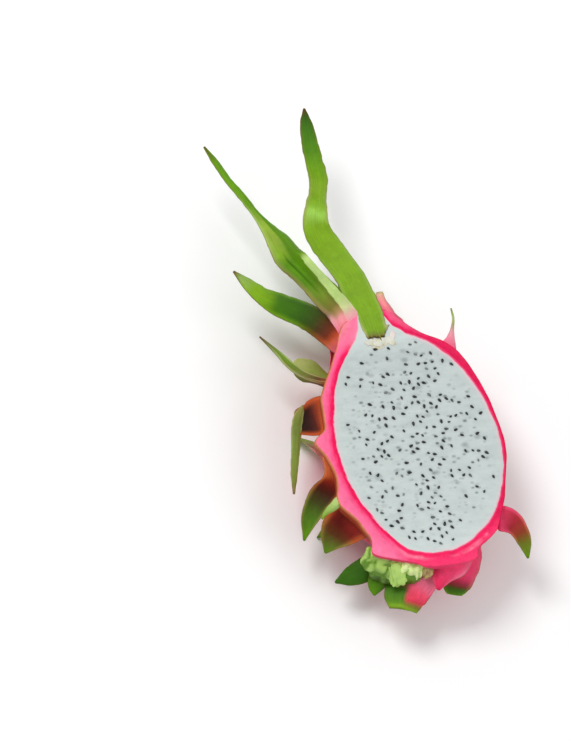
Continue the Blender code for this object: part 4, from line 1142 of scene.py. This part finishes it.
def skin_material():
    """Rind, bracts and scales: their own colours with veins, mottling and brown, worn edges."""
    skin = Shader("rind_and_scales")
    veins = skin.mottle(1.6, 4, at=skin.streaks(6.0, 1.0))
    patches = skin.mottle(90, 4)
    colour = skin.shaded(skin.attribute("tint", "Color"), veins, [(0.28, 0.85), (0.5, 1.0), (0.74, 1.12)])
    colour = skin.shaded(colour, patches, [(0.3, 0.84), (0.7, 1.10)])
    speckle = skin.ramp(skin.mottle(520, 3), [(0.50, 0.0), (0.74, 0.35)])
    colour = skin.mix(speckle, colour, skin.mix(1.0, colour, (1.25, 1.25, 1.5), "MULTIPLY"))
    edge = skin.ramp(skin.attribute("edge"), [(0.94, 0.0), (0.985, 1.0)])
    worn = skin.ramp(patches, [(0.38, 0.15), (0.62, 0.85)])
    colour = skin.mix(skin.times(edge, worn), colour, (0.17, 0.085, 0.02))
    ribs = skin.mottle(2.0, 4, 0.6, at=skin.streaks(16.0, 2.0))
    skin.bumps(skin.maths("ADD", ribs, skin.mottle(240, 3)), 0.5, 0.0005)
    roughness = skin.ramp(patches, [(0.3, 0.36), (0.7, 0.52)])
    return skin.finish(colour, roughness, 0.16, 0.08, (1.0, 0.4, 0.25))


def cut_material():
    """The knife's cut through the rind: crimson by the flesh, rose outside, tan where the skin ends, and
    pale painted highlight streaks at the base.
    """
    cut = Shader("cut_rind")
    far = cut.past_white()
    drawn = cut.mottle(1.4, 4, 0.6, at=cut.streaks(1.0, 1.6))
    drawn = cut.maths("ADD", far, cut.times(cut.maths("SUBTRACT", drawn, 0.5), 0.34))
    left = cut.ramp(drawn, [
        (0.02, (0.90, 0.34, 0.42)), (0.05, (0.92, 0.075, 0.21)), (0.09, (0.80, 0.004, 0.088)),
        (0.17, (0.82, 0.008, 0.100)), (0.27, (0.92, 0.060, 0.200)), (0.45, (0.94, 0.140, 0.305)),
        (1.0, (0.93, 0.185, 0.345)),
    ])
    crown = cut.ramp(far, [
        (0.0, (0.86, 0.50, 0.52)), (0.12, (0.93, 0.22, 0.36)), (0.5, (0.92, 0.17, 0.31)),
        (1.0, (0.90, 0.25, 0.32)),
    ])
    right = cut.ramp(far, [
        (0.0, (0.84, 0.40, 0.50)), (0.06, (0.80, 0.06, 0.17)), (0.14, (0.72, 0.006, 0.080)), (0.5, CRIMSON),
    ])
    base = cut.ramp(far, [
        (0.0, PALE_ROSE), (0.05, (0.90, 0.08, 0.22)), (0.12, (0.86, 0.012, 0.105)),
        (0.45, (0.92, 0.035, 0.150)), (1.0, HOT_PINK),
    ])
    # Painted highlight: pale streaks along the wet cut at the base, broken up by mottling
    painted_highlight = cut.ramp(drawn, [(0.22, 0.0), (0.36, 1.0), (0.50, 0.0)])
    painted_highlight = cut.times(painted_highlight, cut.ramp(cut.mottle(75, 4), [(0.40, 0.0), (0.62, 0.75)]))
    base = cut.mix(painted_highlight, base, (0.97, 0.40, 0.52))
    colour = cut.mix(cut.attribute("left"), right, left)
    colour = cut.mix(cut.attribute("base"), colour, base)
    colour = cut.mix(cut.attribute("crown"), colour, crown)
    tan = cut.ramp(cut.maths("DIVIDE", cut.attribute("from_skin"), 3.0), [(0.12, 1.0), (0.34, 0.0)])
    colour = cut.mix(cut.times(tan, cut.attribute("tan")), colour, (0.62, 0.20, 0.085))
    colour = cut.shaded(colour, cut.mottle(360, 5, 0.62), [(0.3, 0.84), (0.55, 1.0), (0.72, 1.14)])
    # Where the cut is white, the flesh's white with painted shade and light along the fruit
    colour = cut.mix(cut.ramp(far, [(0.0, 1.0), (0.05, 0.0)]), colour, cut.painted_light_along(WHITE_FLESH))
    cut.bumps(cut.mottle(420, 5, 0.6), 0.5)
    return cut.finish(colour, 0.34, 0.16, 0.12, (1.0, 0.3, 0.35))


def cut_scale_material():
    """The knife's cut through a scale or bract, in its own colours, moist and a little paler."""
    cut = Shader("cut_scale")
    colour = cut.shaded(cut.attribute("tint", "Color"), cut.mottle(260, 4), [(0.3, 0.88), (0.7, 1.10)])
    cut.bumps(cut.mottle(420, 4), 0.3)
    return cut.finish(colour, 0.38, 0.35, 0.12, (1.0, 0.4, 0.3))


def flesh_material():
    """Moist white flesh with faint streaks, greyer towards the crown as painted shade, and grey shadows of
    the seeds that lie deeper.
    """
    flesh = Shader("white_flesh")
    drawn = flesh.mottle(120, 5, 0.62, at=flesh.place((1.0, 2.6, 1.0)))
    stops = [(0.25, (0.485, 0.545, 0.535)), (0.5, WHITE_FLESH), (0.78, (0.605, 0.660, 0.645))]
    # Painted shade and light along the fruit: greyer just below the crown, lighter at the ends
    colour = flesh.painted_light_along(flesh.ramp(drawn, stops))
    from_rim = flesh.maths("DIVIDE", flesh.attribute("from_rim"), 20.0)
    inside = flesh.ramp(from_rim, [(0.14, 0.0), (0.42, 1.0)])
    for scale, shift, strength in DEEP_SEEDS:
        vector = flesh.place((1.0, 1.5, 0.01), (shift, 0, 0), (0, 0, 0.3))
        distance = flesh.node("TexVoronoi", "Distance", {"Scale": scale, "Vector": vector})
        spot = flesh.ramp(distance, [(0.08, strength), (0.36, 0.0)])
        chosen = flesh.ramp(distance.node.outputs["Color"], [(0.48, 0.0), (0.80, 1.0)])
        colour = flesh.mix(flesh.times(flesh.times(spot, chosen), inside), colour, (0.16, 0.19, 0.19))
    colour = flesh.mix(flesh.times(flesh.attribute("near_seed"), 0.42), colour, (0.20, 0.235, 0.235))
    far = flesh.past_white()
    rosy = flesh.ramp(flesh.maths("ADD", far, 0.5), [(0.36, 0.0), (0.50, 0.50)])
    colour = flesh.mix(rosy, colour, (0.84, 0.52, 0.60))
    pink = flesh.ramp(far, [(0.03, (0.82, 0.10, 0.22)), (0.12, (0.80, 0.018, 0.11))])
    colour = flesh.mix(flesh.ramp(far, [(0.0, 0.0), (0.06, 1.0)]), colour, pink)
    flesh.bumps(flesh.mottle(620, 4, at=flesh.place((1, 2, 1))), 0.30, 0.0003)
    return flesh.finish(colour, 0.34, 0.35, 0.22, (1.0, 1.0, 1.0), 0.0015)


def seed_material():
    """Shiny black seeds, the sunken ones greyer under a film of flesh."""
    seeds = Shader("seeds")
    stops = [(0.0, (0.004, 0.004, 0.006)), (0.4, (0.012, 0.012, 0.014)), (1.0, (0.16, 0.18, 0.18))]
    colour = seeds.ramp(seeds.attribute("tone"), stops)
    colour = seeds.shaded(colour, seeds.mottle(900, 3), [(0.3, 0.7), (0.7, 1.6)])
    seeds.bumps(seeds.mottle(1500, 2), 0.2, 0.0001)
    return seeds.finish(colour, 0.28)


def stem_material():
    """Torn stem: juicy light green, dark in the splits as painted shade, brown where it has dried."""
    stem = Shader("torn_stem")
    stops = [(0.3, 0.78), (0.5, 1.0), (0.72, 1.22)]
    colour = stem.shaded(stem.attribute("tint", "Color"), stem.mottle(85, 4), stops)
    dry = stem.ramp(stem.mottle(70, 2, at=stem.place((1.3, 0.7, 1))), [(0.60, 0.0), (0.72, 0.55)])
    colour = stem.mix(dry, colour, (0.30, 0.19, 0.05))
    stem.bumps(stem.mottle(320, 5, 0.65), 0.6, 0.0006)
    return stem.finish(colour, 0.42, 0.35, 0.12, (0.6, 1.0, 0.3))


# The photograph's viewing angle, and the fruit's size and place in its frame of 571 by 741 pixels
VIEW_TILT_X = 20.0
VIEW_TILT_Y = 18.0
VIEW_ROLL = 14.69
VIEW_DISTANCE = 7000.0
PHOTO_WIDTH, PHOTO_HEIGHT = 571, 741
SENSOR = 36
PIXELS_PER_MM = 2.166
FLESH_MIDDLE_X, FLESH_MIDDLE_Y = 418.2, 441.5

# Half the table's width
TABLE_HALF = 6000


def make_camera():
    """A long lens that sees the half at the angle, size and place that it has in the photograph."""
    x, y = -math.sin(math.radians(VIEW_TILT_X)), -math.sin(math.radians(VIEW_TILT_Y))
    back = Vector((x, y, math.sqrt(1 - x * x - y * y)))
    level_up = (Vector((0, 1, 0)) - back * back.y).normalized()
    level_right = level_up.cross(back)
    roll = math.radians(VIEW_ROLL)
    right = math.cos(roll) * level_right - math.sin(roll) * level_up
    up = math.sin(roll) * level_right + math.cos(roll) * level_up
    middle = Vector((0, 0, CUT_HEIGHT))
    eye = middle + back * VIEW_DISTANCE
    aim = middle
    aim = aim - right * (FLESH_MIDDLE_X - PHOTO_WIDTH / 2) / PIXELS_PER_MM
    aim = aim + up * (FLESH_MIDDLE_Y - PHOTO_HEIGHT / 2) / PIXELS_PER_MM
    back = (eye - aim).normalized()
    up = (up - back * up.dot(back)).normalized()
    right = up.cross(back)
    data = bpy.data.cameras.new("camera")
    data.sensor_width = SENSOR
    data.lens = SENSOR * VIEW_DISTANCE * PIXELS_PER_MM / PHOTO_HEIGHT
    data.clip_start, data.clip_end = 0.05, 40
    camera = bpy.data.objects.new("camera", data)
    camera.matrix_world = Matrix((right, up, back)).transposed().to_4x4()
    camera.location = eye * MM
    bpy.context.scene.collection.objects.link(camera)
    bpy.context.scene.camera = camera


def area_light(name, place, size, power):
    """A round lamp at a place in metres, turned to the fruit."""
    data = bpy.data.lights.new(name, "AREA")
    data.shape = "DISK"
    data.size = size
    data.energy = power
    light = bpy.data.objects.new(name, data)
    light.location = place
    light.rotation_mode = "QUATERNION"
    light.rotation_quaternion = (Vector((0, 0, 0.03)) - Vector(place)).to_track_quat("-Z", "Y")
    bpy.context.scene.collection.objects.link(light)
    return light


def make_studio():
    """A white table in a bright white studio, with one large soft lamp above the left."""
    world = bpy.data.worlds.new("studio")
    bpy.context.scene.world = world
    world.use_nodes = True
    background = world.node_tree.nodes["Background"].inputs
    background["Color"].default_value = (1, 1, 1, 1)
    background["Strength"].default_value = 0.54
    corners = [(-TABLE_HALF, -TABLE_HALF, 0), (TABLE_HALF, -TABLE_HALF, 0)]
    corners += [(TABLE_HALF, TABLE_HALF, 0), (-TABLE_HALF, TABLE_HALF, 0)]
    white = Shader("white_table").finish((0.93, 0.93, 0.93), 0.6)
    table = mesh_object("table", corners, [(0, 1, 2, 3)], materials=[white])
    lamps = [
        area_light("key", (-0.75, 0.65, 1.35), 0.7, 16.0),
        area_light("fill", (0.9, -0.7, 1.1), 1.2, 6.0),
    ]


def main():
    scales = back_scales()
    skin, cut, cut_scale = skin_material(), cut_material(), cut_scale_material()
    skin_object, rings = make_skin(scales, skin)
    pieces = [skin_object, make_cut_rind(rim_outline(rings), cut)]
    places = seed_places()
    flesh = make_flesh(places, flesh_material())
    pieces += [flesh, make_seeds(places, seed_material())]
    blade_materials = [skin, cut_scale]
    for number, (name, (cup, rows)) in enumerate(RIM_BLADES.items()):
        pieces.append(rim_blade(name, rows, cup, LOOKS[name], number, blade_materials))
    centre = ("centre_bract", CENTRE_BRACT, 0.06, LOOKS["centre_bract"], 40)
    pieces.append(rim_blade(*centre, blade_materials, cut=False))
    for number, scale in enumerate(scales):
        pieces.append(back_blade(number, scale, scales, blade_materials))
    torn = stem_material()
    pieces += make_stem(torn)
    pieces += make_navel(torn)
    for piece in pieces:
        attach(piece, "root")
    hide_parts("rind_with_scales")
    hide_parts("flesh_with_seeds")
    make_studio()
    make_camera()
    bpy.context.scene.view_settings.view_transform = "Standard"


main()
